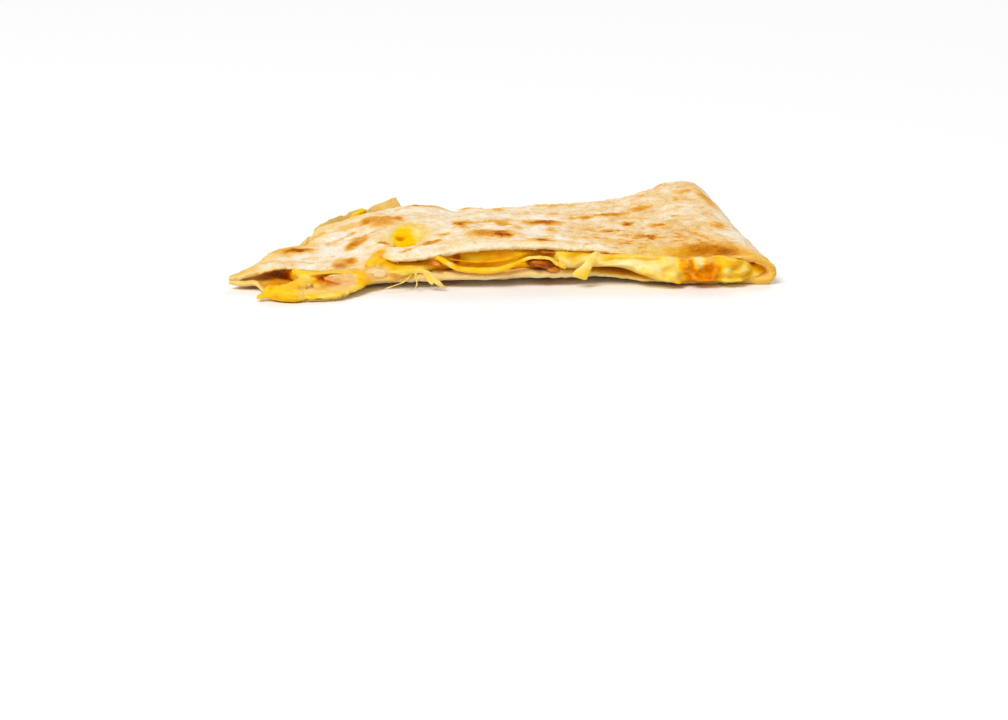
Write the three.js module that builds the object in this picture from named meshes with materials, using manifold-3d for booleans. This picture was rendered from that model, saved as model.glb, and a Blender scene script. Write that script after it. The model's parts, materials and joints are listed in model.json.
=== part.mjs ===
// One slice of a quesadilla, lying flat on the face it rests on.
// A round flour tortilla is folded in half over melted cheese and chopped ham, browned in
// a dry pan and cut across the fold. So the slice has the fold at +X, a cut along its front
// and its back, and the tortilla's own rim, open and torn, at -X. Millimetres, +Z up.
import * as THREE from 'three';
import { mergeVertices } from 'three/addons/utils/BufferGeometryUtils.js';
import Module from 'manifold-3d';

const wasm = await Module();
wasm.setup();
const { lerp, smoothstep } = THREE.MathUtils;

// Driving dimensions
const TORTILLA_RADIUS = 152;    // a 305 mm tortilla
const FRONT_CUT = 57;           // from the middle of the fold to the front cut
const SLICE_WIDTH = 60;         // between the two cuts
const CUT_WOBBLE = 0.5;         // the two cuts wander by this much
const LEAF = 2.1;               // thickness of the tortilla
const RIM_LEAF = 1.0;           // the same, thinned out at its rim
const RIM_TAPER = 7;            // width of the rim that thins out
const FOLD_X = 70;              // where the arc of the rim is measured from
const GAP = 0.3;                // between the filling and the tortilla
const WELD = 1e-4;              // corners closer than this are one
const HALF = SLICE_WIDTH / 2;

// Height of the top leaf's upper face along the front cut, the middle and the back cut
const TOP_FRONT = [
  [-70.5, 3.9], [-65, 5.0], [-58, 6.2], [-50, 6.3], [-40, 6.6], [-36.5, 6.9], [-31.3, 9.1],
  [-21, 10.1], [-12, 11.3], [-5, 11.8], [8, 11.6], [19, 10.8], [29, 9.9], [38, 9.3],
  [46, 9.3], [54, 9.2], [59, 8.9], [63, 8.3],
];
const TOP_MIDDLE = [
  [-60, 7.1], [-50, 7.2], [-40, 7.8], [-33, 9.2], [-26, 10.0], [-12, 10.6], [8, 10.6],
  [25, 10.0], [38, 10.4], [48, 11.3], [56, 11.6], [60, 11.2],
];
const TOP_BACK = [
  [-30, 7.8], [-22, 8.5], [-15, 8.7], [-10, 6.8], [-5, 7.6], [3, 7.7], [18, 8.7], [29, 9.5],
  [35, 10.3], [39, 11.1], [43, 12.4], [46, 13.4], [50, 14.9], [57, 15.2],
];
const RIPPLE = 0.25;            // waves of the leaf between the blisters

// The middle of the leaf round the fold, at the front and the back cut: where it starts to
// turn, its outermost point, and where it comes down flat
const FOLD_FRONT = { start: 62, outer: 69.4, outerZ: 2.9, end: 67.2 };
const FOLD_BACK = { start: 55, outer: 62.8, outerZ: 6, end: 57 };
const FOLD_WAIST = 0.8;         // the fold is drawn in by this much half way between the cuts
const ROUND = 0.55;             // handle of a quarter turn, over its size

// The rim, by place along Y: how far the top leaf falls short of the round of the tortilla,
// how far the bottom leaf reaches past it, and how high its torn edge curls up
const TOP_RIM_SHORT = [
  [-30, 0], [-28, 1.4], [-25, 4], [-17, 4], [-13, 5], [-9, 8], [-4, 7], [2, 4], [8, 1], [14, 0.5],
  [20, 2], [30, 2],
];
const BOTTOM_RIM_PAST = [[-30, 0], [-20, -2], [-8, -1], [4, 2], [14, 3.5], [22, 4], [30, -1]];
const CURL_HEIGHT = [
  [-30, 0.3], [0, 0.6], [6, 2], [12, 6.8], [18, 8.2], [24, 7.9], [27, 8.6], [30, 10.6],
];
const CURL_WIDTH = 11;
const CURL_BEND = 1.8;          // 1 is a straight ramp up to the torn edge, more a curl

// The bottom leaf along its front cut: how high it lifts, and how far it slides out
const BOTTOM_LIFT = [
  [-71, 0.7], [-62, 0.2], [-56, 0], [-44, 0], [-38, 0.6], [-31, 1.2], [-16, 1.9], [0, 2.2],
  [22, 2.2], [34, 1.3], [50, 0.3], [58, 0],
];
const LIFT_WIDTH = 16;
const LIP_OUT = [
  [-66, 0], [-63, 2], [-60, 6], [-56, 10.5], [-50, 12.5], [-44, 11], [-41, 8.5], [-38, 2], [-34, 0],
  [18, 0], [24, -2.5], [32, -2.5], [36, 0],
];

// Toasted blisters on the top leaf
const BLISTERS = [
  { x: -54, y: -20, long: 8, wide: 5, high: 0.5 },
  { x: -43, y: -27, long: 6, wide: 4, high: 0.4 },
  { x: -38, y: -12, long: 5, wide: 6, high: 0.5 },
  { x: -31, y: 6, long: 9, wide: 7, high: 0.7 },
  { x: -18, y: 20, long: 9, wide: 6, high: 0.5 },
  { x: -9, y: -4, long: 6, wide: 5, high: 0.6 },
  { x: -2, y: -15, long: 10, wide: 6, high: 0.7 },
  { x: 3, y: 5, long: 8, wide: 4, high: 0.4 },
  { x: 13, y: -1, long: 10, wide: 5, high: 0.6 },
  { x: 10, y: -21, long: 6, wide: 3, high: 0.4 },
  { x: 29, y: 8, long: 11, wide: 4, high: 0.5 },
  { x: 35, y: -17, long: 9, wide: 4, high: 0.5 },
  { x: 51, y: 9, long: 7, wide: 4, high: 0.4 },
];

// The tear in the top leaf, from the front cut to a hole, as a closed outline
const TEAR = [
  [-37.2, -31.5], [-35.5, -28.5], [-33.6, -25], [-32.4, -20.5], [-30.6, -17.5], [-29.6, -12.5],
  [-28.2, -8], [-26.6, -2.5], [-23.4, 1.2], [-20.6, -2.2], [-19.8, -8], [-21.6, -14.5],
  [-23.2, -20], [-26, -22.4], [-29.4, -22.4], [-31, -24.5], [-31.6, -27.5], [-30.4, -31.5],
];
const TEAR_FLOOR = 3.9;         // above the bottom leaf, below the top one
const TEAR_DEPTH = 15;          // out through the top leaf's upper face

// How far the filling's face lies behind the front cut, how low it hangs there, and the
// lobes that swell out of it
const FRONT_HOLLOW = [
  [-54, 0], [-41, 0], [-36, 1.5], [-31, 6], [-22, 6], [-17, 4], [-14, 9], [-6, 11], [5, 9],
  [10, 4], [14, 1], [19, 2.5], [26, 2.5], [31, 1.5], [38, 0], [60, 0], [64, 3], [68, 5],
];
const FRONT_FOOT = [
  [-54, 1.4], [-36, 1.5], [-30, 2.6], [-10, 3.2], [24, 3.2], [32, 1.6], [38, 0.9], [52, 0.9],
  [58, 1.3], [64, 1.6],
];
const FRONT_LOBES = [
  { x: -51.5, z: 4.2, wide: 3.2, tall: 3, out: 1.4 },
  { x: -45, z: 3.4, wide: 4.5, tall: 2.6, out: 2.2 },
  { x: -38.5, z: 3.4, wide: 3.2, tall: 2.8, out: 2.6 },
  { x: -24.5, z: 4.4, wide: 5.5, tall: 1.5, out: 7.5 },
  { x: 14.8, z: 7.2, wide: 3.6, tall: 1.9, out: 3.4 },
  { x: 27, z: 7.4, wide: 6.5, tall: 1.6, out: 3.6 },
  { x: 37.5, z: 4.4, wide: 6.5, tall: 3, out: 5.2 },
  { x: 48.4, z: 4.4, wide: 2.5, tall: 2.8, out: 5 },
  { x: 54.2, z: 4.2, wide: 2.3, tall: 2.6, out: 4.6 },
  { x: 60, z: 4.8, wide: 3.2, tall: 2.2, out: 3.4 },
];
const BACK_LOBES = [
  { x: -14, z: 4.5, wide: 6, tall: 2.6, out: 2.4 },
  { x: 2, z: 4.2, wide: 5, tall: 2.4, out: 3 },
  { x: 16, z: 5, wide: 6, tall: 2.6, out: 2 },
  { x: 33, z: 5, wide: 7, tall: 3, out: 3.2 },
  { x: 46, z: 7, wide: 5, tall: 4, out: 2.4 },
];
const FILLING_FROM_RIM = 14;    // the filling stops this far inside the round of the tortilla
const FILLING_WAVE = 1.5;       // and its end there comes and goes by this much
const FILLING_FROM_FOLD = 0.7;  // behind the middle of the leaf round the fold
const BACK_HOLLOW = 1.5;        // the filling's face behind the back cut
const FACE_DEPTH = 4;           // of the filling's two faces, in from the cuts

// Strands, drips and tongues of melted cheese that have run out of the front cut. Each point
// is [x, y, z, half its width, half its thickness]
const RUNS = [
  [[-21, -24, 7.4, 1.2, 1], [-16, -29.8, 7, 1, 0.9], [-11.5, -31, 5.9, 0.9, 0.9],
    [-5, -31.2, 5.4, 0.9, 1], [1, -31, 6.1, 1, 0.9], [6, -30.6, 7.2, 1, 0.8],
    [10, -29, 7.7, 1.2, 0.9], [14, -25.5, 7.4, 1.4, 1]],
  [[-27, -27, 5.4, 2.4, 1.4], [-23, -31.4, 5, 2.2, 1.4], [-19.4, -32.7, 3.8, 1.6, 1.2],
    [-17, -33.2, 2.1, 1.4, 0.9], [-16, -33.5, 1, 0.9, 0.7]],
  [[24, -26.5, 7.8, 1.8, 1.2], [21.4, -30.8, 7.3, 1.5, 1], [18.6, -32, 5, 1.3, 0.8],
    [16.4, -31.9, 3.6, 1.1, 0.7]],
  [[-46, -29, 3.4, 3, 1.6], [-51, -34, 3.2, 4.2, 1.5], [-55.5, -39, 2.6, 4.6, 1.5],
    [-58.5, -43, 1.8, 4, 1.4], [-62.8, -43.4, 1.1, 1.8, 0.9]],
  [[-38.5, -32, 3, 2.4, 1.2], [-43, -37, 2.6, 3.4, 1.1], [-49, -40, 2.5, 3.6, 1],
    [-54, -41, 2.3, 2.6, 0.9]],
];

// Pieces of ham, three in the front cut and two in the back cut
const HAM = [
  { name: 'ham_1', x: -43.4, y: -34, z: 3.9, long: 5.2, deep: 5, tall: 3.2, turn: 0.3 },
  { name: 'ham_2', x: -33.6, y: -30, z: 4.9, long: 4, deep: 5, tall: 3.6, turn: -0.4 },
  { name: 'ham_3', x: 9, y: -27.6, z: 6.1, long: 7, deep: 6, tall: 2.6, turn: 0.15 },
  { name: 'ham_4', x: -6, y: 29.4, z: 3.9, long: 6, deep: 5, tall: 2.4, turn: 0.2 },
  { name: 'ham_5', x: 25, y: 30, z: 4.9, long: 7, deep: 5, tall: 3, turn: -0.2 },
];
const HAM_BLUNTNESS = 0.7;      // 1 is an ellipsoid, 0 a box
const HAM_ROUGHNESS = 0.12;
const HAM_ROOM = 0.42;          // between the ham and the cheese

const TORTILLA_LOOK = new THREE.MeshStandardMaterial({ color: 0xf0dcb8, roughness: 0.75 });
const CHEESE_LOOK = new THREE.MeshStandardMaterial({ color: 0xf4c648, roughness: 0.35 });
const HAM_LOOK = new THREE.MeshStandardMaterial({ color: 0xd98a72, roughness: 0.45 });

// A smooth curve through [place, value] stations, level beyond both ends
function through(stations, place) {
  const last = stations.length - 1;
  if (place <= stations[0][0]) return stations[0][1];
  if (place >= stations[last][0]) return stations[last][1];
  let left = 0;
  while (stations[left + 1][0] < place) left += 1;
  const slope = (k) => {
    if (k === 0 || k === last) return 0;
    return (stations[k + 1][1] - stations[k - 1][1]) / (stations[k + 1][0] - stations[k - 1][0]);
  };
  const [from, low] = stations[left];
  const [to, high] = stations[left + 1];
  const u = (place - from) / (to - from);
  const bend = slope(left) * u * (1 - u) ** 2 - slope(left + 1) * u * u * (1 - u);
  return lerp(low, high, u * u * (3 - 2 * u)) + (to - from) * bend;
}

// The leaf of tortilla: where it lies at each place ------------------------------------------

const across = (y) => (y + HALF) / SLICE_WIDTH;       // 0 at the front cut, 1 at the back cut

function rimArc(y) {
  return FOLD_X - Math.sqrt(TORTILLA_RADIUS ** 2 - (FRONT_CUT + HALF + y) ** 2);
}

const topRim = (y) => rimArc(y) + through(TOP_RIM_SHORT, y);
const bottomRim = (y) => rimArc(y) - through(BOTTOM_RIM_PAST, y);
const wander = (x) => CUT_WOBBLE * (Math.sin(x / 7.3) + 0.5 * Math.sin(x / 2.9 + 1));
const thickness = (fromRim) => lerp(RIM_LEAF, LEAF, smoothstep(fromRim, 0, RIM_TAPER));

function blisterHeight(x, y) {
  const bump = (b) => b.high * Math.exp(-2 * (((x - b.x) / b.long) ** 2 + ((y - b.y) / b.wide) ** 2));
  return BLISTERS.reduce((sum, blister) => sum + bump(blister), 0);
}

// Upper face of the top leaf: a parabola across the slice through the three lines of heights
function topFace(x, y) {
  const t = across(y);
  const sag = through(TOP_FRONT, x) * (1 - t) * (1 - 2 * t)
    + through(TOP_MIDDLE, x) * 4 * t * (1 - t)
    + through(TOP_BACK, x) * t * (2 * t - 1);
  const ripple = RIPPLE * Math.sin(x / 5.3 + y / 9) * Math.sin(y / 6.1 - x / 23);
  return sag + blisterHeight(x, y) + ripple * 4 * t * (1 - t);
}

// Lower face of the bottom leaf: flat, but lifted along the front cut and curled at the rim
function bottomFace(x, y) {
  const lift = through(BOTTOM_LIFT, x) * (1 - smoothstep(y, -HALF, LIFT_WIDTH - HALF));
  const fromRim = Math.max(x - bottomRim(y), 0);
  const curl = through(CURL_HEIGHT, y) * Math.max(1 - fromRim / CURL_WIDTH, 0) ** CURL_BEND;
  return lift + curl;
}

function foldAt(y) {
  const t = across(y);
  const fold = Object.fromEntries(Object.keys(FOLD_FRONT).map(
    (key) => [key, lerp(FOLD_FRONT[key], FOLD_BACK[key], t)],
  ));
  fold.outer -= FOLD_WAIST * 4 * t * (1 - t);
  return fold;
}

// Middle line of the leaf at one place across the slice, from the top leaf's rim over the
// fold to the bottom leaf's rim, as points { x, z, y, thick }
const TOP_STEPS = 46;
const TURN_STEPS = 6;
const BOTTOM_STEPS = 32;
function middleLine(y) {
  const fold = foldAt(y);
  const line = [];
  for (let i = 0; i < TOP_STEPS; i += 1) {
    const x = lerp(topRim(y), fold.start, i / TOP_STEPS);
    const thick = thickness(x - topRim(y));
    line.push({ x, y, z: topFace(x, y) - thick / 2, thick });
  }
  const high = new THREE.Vector2(fold.start, topFace(fold.start, y) - LEAF / 2);
  const far = new THREE.Vector2(fold.outer, fold.outerZ);
  const low = new THREE.Vector2(fold.end, bottomFace(fold.end, y) + LEAF / 2);
  const slope = (topFace(fold.start, y) - topFace(fold.start - 1, y)) * ROUND * (far.x - high.x);
  const down = new THREE.CubicBezierCurve(
    high, new THREE.Vector2(lerp(high.x, far.x, ROUND), high.y + slope),
    new THREE.Vector2(far.x, lerp(far.y, high.y, ROUND)), far,
  );
  const under = new THREE.CubicBezierCurve(
    far, new THREE.Vector2(far.x, lerp(far.y, low.y, ROUND)),
    new THREE.Vector2(lerp(low.x, far.x, ROUND), low.y), low,
  );
  for (const curve of [down, under]) {
    for (let i = 0; i < TURN_STEPS; i += 1) {
      const point = curve.getPoint(i / TURN_STEPS);
      line.push({ x: point.x, y, z: point.y, thick: LEAF });
    }
  }
  for (let i = 0; i <= BOTTOM_STEPS; i += 1) {
    const x = lerp(fold.end, bottomRim(y), i / BOTTOM_STEPS);
    const thick = thickness(x - bottomRim(y));
    const slide = through(LIP_OUT, x) * (1 - across(y)) ** 2;
    line.push({ x, y: y - slide, z: bottomFace(x, y) + thick / 2, thick });
  }
  return line;
}

// Both faces of the leaf, `extra` outside their true place all round
const LEAF_ROWS = 15;           // from cut to cut
function leafFaces(extra) {
  const outer = [];
  const inner = [];
  for (let j = 0; j <= LEAF_ROWS; j += 1) {
    const line = middleLine(lerp(-HALF - extra, HALF + extra, j / LEAF_ROWS));
    const last = line.length - 1;
    const edge = Math.abs(2 * (j / LEAF_ROWS) - 1) ** 3;
    line.forEach((point, i) => {
      const ahead = line[Math.min(i + 1, last)];
      const behind = line[Math.max(i - 1, 0)];
      const along = new THREE.Vector2(ahead.x - behind.x, ahead.z - behind.z).normalize();
      const end = (i === last ? extra : 0) - (i === 0 ? extra : 0);
      const reach = point.thick / 2 + extra;
      const at = (side) => new THREE.Vector3(
        point.x + along.x * end - along.y * reach * side,
        point.y + edge * wander(point.x + (j > LEAF_ROWS / 2 ? point.z : -point.z)),
        Math.max(point.z + along.y * end + along.x * reach * side, -extra),
      );
      (outer[i] ??= []).push(at(1));
      (inner[i] ??= []).push(at(-1));
    });
  }
  return { outer, inner };
}

// Closed meshes from grids of points ----------------------------------------------------------

const cornersOf = (quads) => quads.flatMap(([a, b, c, d]) => [a, b, c, a, c, d]);

// A slab between two grids [column][row] whose faces point up and down
function slab(upper, lower) {
  const columns = upper.length - 1;
  const rows = upper[0].length - 1;
  const quads = [];
  for (let i = 0; i < columns; i += 1) {
    for (let j = 0; j < rows; j += 1) {
      quads.push([upper[i][j], upper[i + 1][j], upper[i + 1][j + 1], upper[i][j + 1]]);
      quads.push([lower[i][j], lower[i][j + 1], lower[i + 1][j + 1], lower[i + 1][j]]);
    }
    quads.push([lower[i][0], lower[i + 1][0], upper[i + 1][0], upper[i][0]]);
    quads.push([lower[i + 1][rows], lower[i][rows], upper[i][rows], upper[i + 1][rows]]);
  }
  for (let j = 0; j < rows; j += 1) {
    quads.push([upper[0][j], upper[0][j + 1], lower[0][j + 1], lower[0][j]]);
    quads.push([upper[columns][j + 1], upper[columns][j], lower[columns][j], lower[columns][j + 1]]);
  }
  return new THREE.BufferGeometry().setFromPoints(cornersOf(quads));
}

// A body swept through closed rings of points, with a flat cap on each end
function sweep(rings) {
  const count = rings[0].length;
  const quads = [];
  for (let i = 0; i < rings.length - 1; i += 1) {
    for (let k = 0; k < count; k += 1) {
      const next = (k + 1) % count;
      quads.push([rings[i][k], rings[i][next], rings[i + 1][next], rings[i + 1][k]]);
    }
  }
  const caps = [];
  const capOf = (ring, flip) => {
    const middle = ring.reduce((sum, point) => sum.add(point), new THREE.Vector3());
    middle.divideScalar(count);
    for (let k = 0; k < count; k += 1) {
      const next = ring[(k + 1) % count];
      caps.push(...(flip ? [middle, next, ring[k]] : [middle, ring[k], next]));
    }
  };
  capOf(rings[0], true);
  capOf(rings[rings.length - 1], false);
  return new THREE.BufferGeometry().setFromPoints([...cornersOf(quads), ...caps]);
}

function solidOf(geometry) {
  geometry.deleteAttribute('normal');
  geometry.deleteAttribute('uv');
  const merged = mergeVertices(geometry, WELD);
  return new wasm.Manifold(new wasm.Mesh({
    numProp: 3,
    vertProperties: new Float32Array(merged.attributes.position.array),
    triVerts: new Uint32Array(merged.index.array),
  }));
}

function meshFrom(solid, name, look) {
  const { vertProperties, triVerts } = solid.getMesh();
  const geometry = new THREE.BufferGeometry();
  geometry.setAttribute('position', new THREE.BufferAttribute(vertProperties, 3));
  geometry.setIndex(new THREE.BufferAttribute(triVerts, 1));
  geometry.computeVertexNormals();
  const mesh = new THREE.Mesh(geometry, look);
  mesh.name = name;
  return mesh;
}

// Drops the scraps that a cut leaves and keeps the body they came off
function largest(solid) {
  return solid.decompose().sort((a, b) => b.volume() - a.volume())[0];
}

// The tortilla ---------------------------------------------------------------------------------

function tearPrism() {
  const outline = new THREE.Shape(TEAR.map(([x, y]) => new THREE.Vector2(x, y)));
  const prism = new THREE.ExtrudeGeometry(outline, { depth: TEAR_DEPTH, bevelEnabled: false });
  return solidOf(prism.translate(0, 0, TEAR_FLOOR));
}

function tortilla() {
  const { outer, inner } = leafFaces(0);
  return largest(solidOf(slab(outer, inner)).subtract(tearPrism()));
}

// The same leaf, whole and thicker by the gap: the room that the filling keeps clear
function tortillaRoom() {
  const { outer, inner } = leafFaces(GAP);
  return solidOf(slab(outer, inner));
}

// The filling ----------------------------------------------------------------------------------

// Where the middle of the leaf is above and below the filling, the inside of the fold too
function leafAbove(x, y) {
  const fold = foldAt(y);
  if (x <= fold.start) return topFace(x, y) - LEAF / 2;
  const turn = (x - fold.start) / (fold.outer - fold.start);
  return lerp(fold.outerZ, topFace(fold.start, y) - LEAF / 2, Math.sqrt(1 - turn * turn));
}

function leafBelow(x, y) {
  const fold = foldAt(y);
  if (x <= fold.end) return bottomFace(x, y) + LEAF / 2;
  const turn = (x - fold.end) / (fold.outer - fold.end);
  return lerp(fold.outerZ, bottomFace(fold.end, y) + LEAF / 2, Math.sqrt(1 - turn * turn));
}

function swell(lobes, x, z) {
  const bulge = (l) => l.out * Math.exp(-(((x - l.x) / l.wide) ** 2) - ((z - l.z) / l.tall) ** 2);
  return lobes.reduce((sum, lobe) => sum + bulge(lobe), 0);
}

const FACE_STEPS = 8;           // up and down each cut
const DEPTH_STEPS = 9;          // from cut to cut
const FILLING_STEPS = 76;       // along the slice
const FINENESS = 0.08;          // facets that differ by less are joined
function fillingRing(u) {
  const ring = [];
  const placeX = (y) => lerp(
    rimArc(y) + FILLING_FROM_RIM + FILLING_WAVE * Math.sin(y / 4),
    foldAt(y).outer - FILLING_FROM_FOLD, u,
  );
  const frontX = placeX(-HALF);
  const backX = placeX(HALF);
  const ceiling = leafAbove(frontX, -HALF);
  const foot = Math.min(through(FRONT_FOOT, frontX), ceiling - 1);
  const frontY = (z) => through(FRONT_HOLLOW, frontX) - HALF - swell(FRONT_LOBES, frontX, z);
  const backY = (z) => HALF - BACK_HOLLOW - Math.sin(backX / 3.7) + swell(BACK_LOBES, backX, z);
  for (let k = 0; k <= FACE_STEPS; k += 1) {
    const z = lerp(ceiling, foot, k / FACE_STEPS);
    ring.push(new THREE.Vector3(frontX, frontY(z), z));
  }
  for (let k = 1; k < DEPTH_STEPS; k += 1) {
    const y = lerp(FACE_DEPTH - HALF, HALF - FACE_DEPTH, (k - 1) / (DEPTH_STEPS - 2));
    ring.push(new THREE.Vector3(placeX(y), y, leafBelow(placeX(y), y)));
  }
  for (let k = 0; k <= FACE_STEPS; k += 1) {
    const z = lerp(leafBelow(backX, HALF), leafAbove(backX, HALF), k / FACE_STEPS);
    ring.push(new THREE.Vector3(backX, backY(z), z));
  }
  for (let k = 1; k < DEPTH_STEPS; k += 1) {
    const y = lerp(HALF - FACE_DEPTH, FACE_DEPTH - HALF, (k - 1) / (DEPTH_STEPS - 2));
    ring.push(new THREE.Vector3(placeX(y), y, leafAbove(placeX(y), y)));
  }
  return ring;
}

// A run of cheese: oval sections along a smooth curve, closed by a round end at each end
const RUN_SIDES = 10;
const RUN_STEPS = 4;            // sections for each point given
function run(points) {
  const path = new THREE.CatmullRomCurve3(points.map(([x, y, z]) => new THREE.Vector3(x, y, z)));
  const spans = points.length - 1;
  const size = (u, part) => through(points.map((point, i) => [i / spans, point[part]]), u);
  const steps = RUN_STEPS * spans;
  const up = new THREE.Vector3(0, 0, 1);
  const rings = [];
  for (let i = 0; i <= steps; i += 1) {
    const u = i / steps;
    const rounding = Math.sqrt(Math.min(1, 0.15 + 5 * u, 0.15 + 5 * (1 - u)));
    const side = new THREE.Vector3().crossVectors(up, path.getTangent(u)).normalize();
    const lift = new THREE.Vector3().crossVectors(path.getTangent(u), side).normalize();
    const ring = [];
    for (let k = 0; k < RUN_SIDES; k += 1) {
      const turn = (2 * Math.PI * k) / RUN_SIDES;
      ring.push(path.getPoint(u)
        .addScaledVector(side, size(u, 3) * rounding * Math.cos(turn))
        .addScaledVector(lift, size(u, 4) * rounding * Math.sin(turn)));
    }
    rings.push(ring);
  }
  return solidOf(sweep(rings));
}

// A blunt, uneven chunk, larger by `extra` all round
function hamChunk(piece, extra) {
  const chunk = new THREE.IcosahedronGeometry(1, 1);
  const place = chunk.attributes.position;
  for (let i = 0; i < place.count; i += 1) {
    const point = new THREE.Vector3().fromBufferAttribute(place, i);
    const wobble = 1 + HAM_ROUGHNESS * Math.sin(7 * point.x + 5 * point.y + piece.x)
      * Math.cos(6 * point.z - 4 * point.x);
    const blunt = (value) => Math.sign(value) * Math.abs(value) ** HAM_BLUNTNESS * wobble;
    place.setXYZ(
      i, blunt(point.x) * (piece.long / 2 + extra), blunt(point.y) * (piece.deep / 2 + extra),
      blunt(point.z) * (piece.tall / 2 + extra),
    );
  }
  return solidOf(chunk.rotateZ(piece.turn).translate(piece.x, piece.y, piece.z));
}

function filling(room) {
  const rings = [];
  for (let i = 0; i <= FILLING_STEPS; i += 1) rings.push(fillingRing(i / FILLING_STEPS));
  let cheese = solidOf(sweep(rings));
  for (const points of RUNS) cheese = cheese.add(run(points));
  for (const piece of HAM) cheese = cheese.subtract(hamChunk(piece, HAM_ROOM));
  return largest(cheese.subtract(room).simplify(FINENESS));
}

// The slice ------------------------------------------------------------------------------------

const room = tortillaRoom();
const slice = new THREE.Group();
slice.add(meshFrom(tortilla(), 'tortilla', TORTILLA_LOOK));
slice.add(meshFrom(filling(room), 'cheese', CHEESE_LOOK));
for (const piece of HAM) {
  slice.add(meshFrom(largest(hamChunk(piece, 0).subtract(room)), piece.name, HAM_LOOK));
}

// The origin is at the middle of the bottom of the slice's box
const middle = new THREE.Box3().setFromObject(slice).getCenter(new THREE.Vector3());
slice.position.set(-middle.x, -middle.y, 0);
const group = new THREE.Group();
group.add(slice);

export default group;
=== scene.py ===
import json
import math
import random

import bpy
import numpy as np
from mathutils import Matrix, Vector, noise

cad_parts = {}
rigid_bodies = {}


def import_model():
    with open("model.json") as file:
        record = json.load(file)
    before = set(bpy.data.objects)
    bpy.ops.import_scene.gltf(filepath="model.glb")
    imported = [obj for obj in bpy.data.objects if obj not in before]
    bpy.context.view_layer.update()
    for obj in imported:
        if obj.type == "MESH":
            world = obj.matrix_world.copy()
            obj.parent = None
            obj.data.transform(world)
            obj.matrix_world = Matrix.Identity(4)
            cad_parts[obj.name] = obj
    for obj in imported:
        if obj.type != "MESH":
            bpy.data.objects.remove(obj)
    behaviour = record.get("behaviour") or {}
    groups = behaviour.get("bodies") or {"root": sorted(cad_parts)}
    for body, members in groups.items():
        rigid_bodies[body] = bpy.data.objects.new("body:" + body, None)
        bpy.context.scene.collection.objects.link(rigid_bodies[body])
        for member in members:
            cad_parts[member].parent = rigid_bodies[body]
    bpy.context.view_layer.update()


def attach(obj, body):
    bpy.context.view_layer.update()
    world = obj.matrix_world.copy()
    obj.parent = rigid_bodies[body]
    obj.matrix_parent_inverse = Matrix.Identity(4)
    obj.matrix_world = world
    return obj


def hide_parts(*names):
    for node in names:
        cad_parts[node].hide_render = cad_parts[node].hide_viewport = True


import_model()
bpy.ops.object.select_all(action="DESELECT")
bpy.context.scene.view_settings.view_transform = "Standard"

# Camera ------------------------------------------------------------------------------------
# A long lens that looks down on the front cut, turned a little to the left. It is aimed near the
# floor in front of the slice, so that the slice stands high in its view. Lengths in millimetres
# are from the middle between the two cuts, and SLICE_AT is that point in the part's frame.
MM = 0.001
SLICE_AT = Vector((0.246, 7.087, 0.0))
VIEW_PITCH = math.radians(16.0)
VIEW_YAW = math.radians(-5.3)
VIEW_ROLL = math.radians(-0.7)
LOOK_AT = Vector((-8.13, -112.67, 4.4))
VIEW_DISTANCE = 530.77
LENS = 85
FILM_WIDTH = 36

back = Vector((
    math.sin(VIEW_YAW) * math.cos(VIEW_PITCH),
    -math.cos(VIEW_YAW) * math.cos(VIEW_PITCH),
    math.sin(VIEW_PITCH),
))
level = Vector((math.cos(VIEW_YAW), math.sin(VIEW_YAW), 0))
up = back.cross(level)
right = level * math.cos(VIEW_ROLL) - up * math.sin(VIEW_ROLL)
above = up * math.cos(VIEW_ROLL) + level * math.sin(VIEW_ROLL)
turned = Matrix((right, above, back)).transposed().to_4x4()
turned.translation = (LOOK_AT + SLICE_AT + back * VIEW_DISTANCE) * MM
bpy.ops.object.camera_add()
camera = bpy.context.object
camera.data.lens = LENS
camera.data.sensor_width = FILM_WIDTH
camera.matrix_world = turned
bpy.context.scene.camera = camera

# Floor and lights --------------------------------------------------------------------------
# A plain white studio floor, and the soft light of a large panel over the left shoulder of
# the camera, a weaker one from the back and a white room all round. These are in metres.
FLOOR_WIDTH = 8
PANEL_WIDTH = 1.5
ROOM_LIGHT = 0.42

bpy.ops.mesh.primitive_plane_add(size=FLOOR_WIDTH)
floor = bpy.context.object
floor.name = "floor"
paper = bpy.data.materials.new("white_paper")
paper.use_nodes = True
paper_shader = paper.node_tree.nodes["Principled BSDF"]
paper_shader.inputs["Base Color"].default_value = (0.98, 0.98, 0.98, 1)
paper_shader.inputs["Roughness"].default_value = 0.9
paper_shader.inputs["Specular IOR Level"].default_value = 0.1
floor.data.materials.append(paper)


def panel(name, place, power):
    """A square panel of light, turned to the slice."""
    bpy.ops.object.light_add(type="AREA", location=place)
    light = bpy.context.object
    light.name = name
    light.data.shape = "SQUARE"
    light.data.size = PANEL_WIDTH
    light.data.energy = power
    light.rotation_euler = (-Vector(place)).to_track_quat("-Z", "Y").to_euler()


panel("key_panel", (-1.3, -1.7, 2.4), 74)
panel("back_panel", (1.0, 2.0, 1.6), 19)
room = bpy.data.worlds.new("white_room")
room.use_nodes = True
walls = room.node_tree.nodes["Background"]
walls.inputs["Color"].default_value = (1, 1, 1, 1)
walls.inputs["Strength"].default_value = ROOM_LIGHT
bpy.context.scene.world = room

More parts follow.
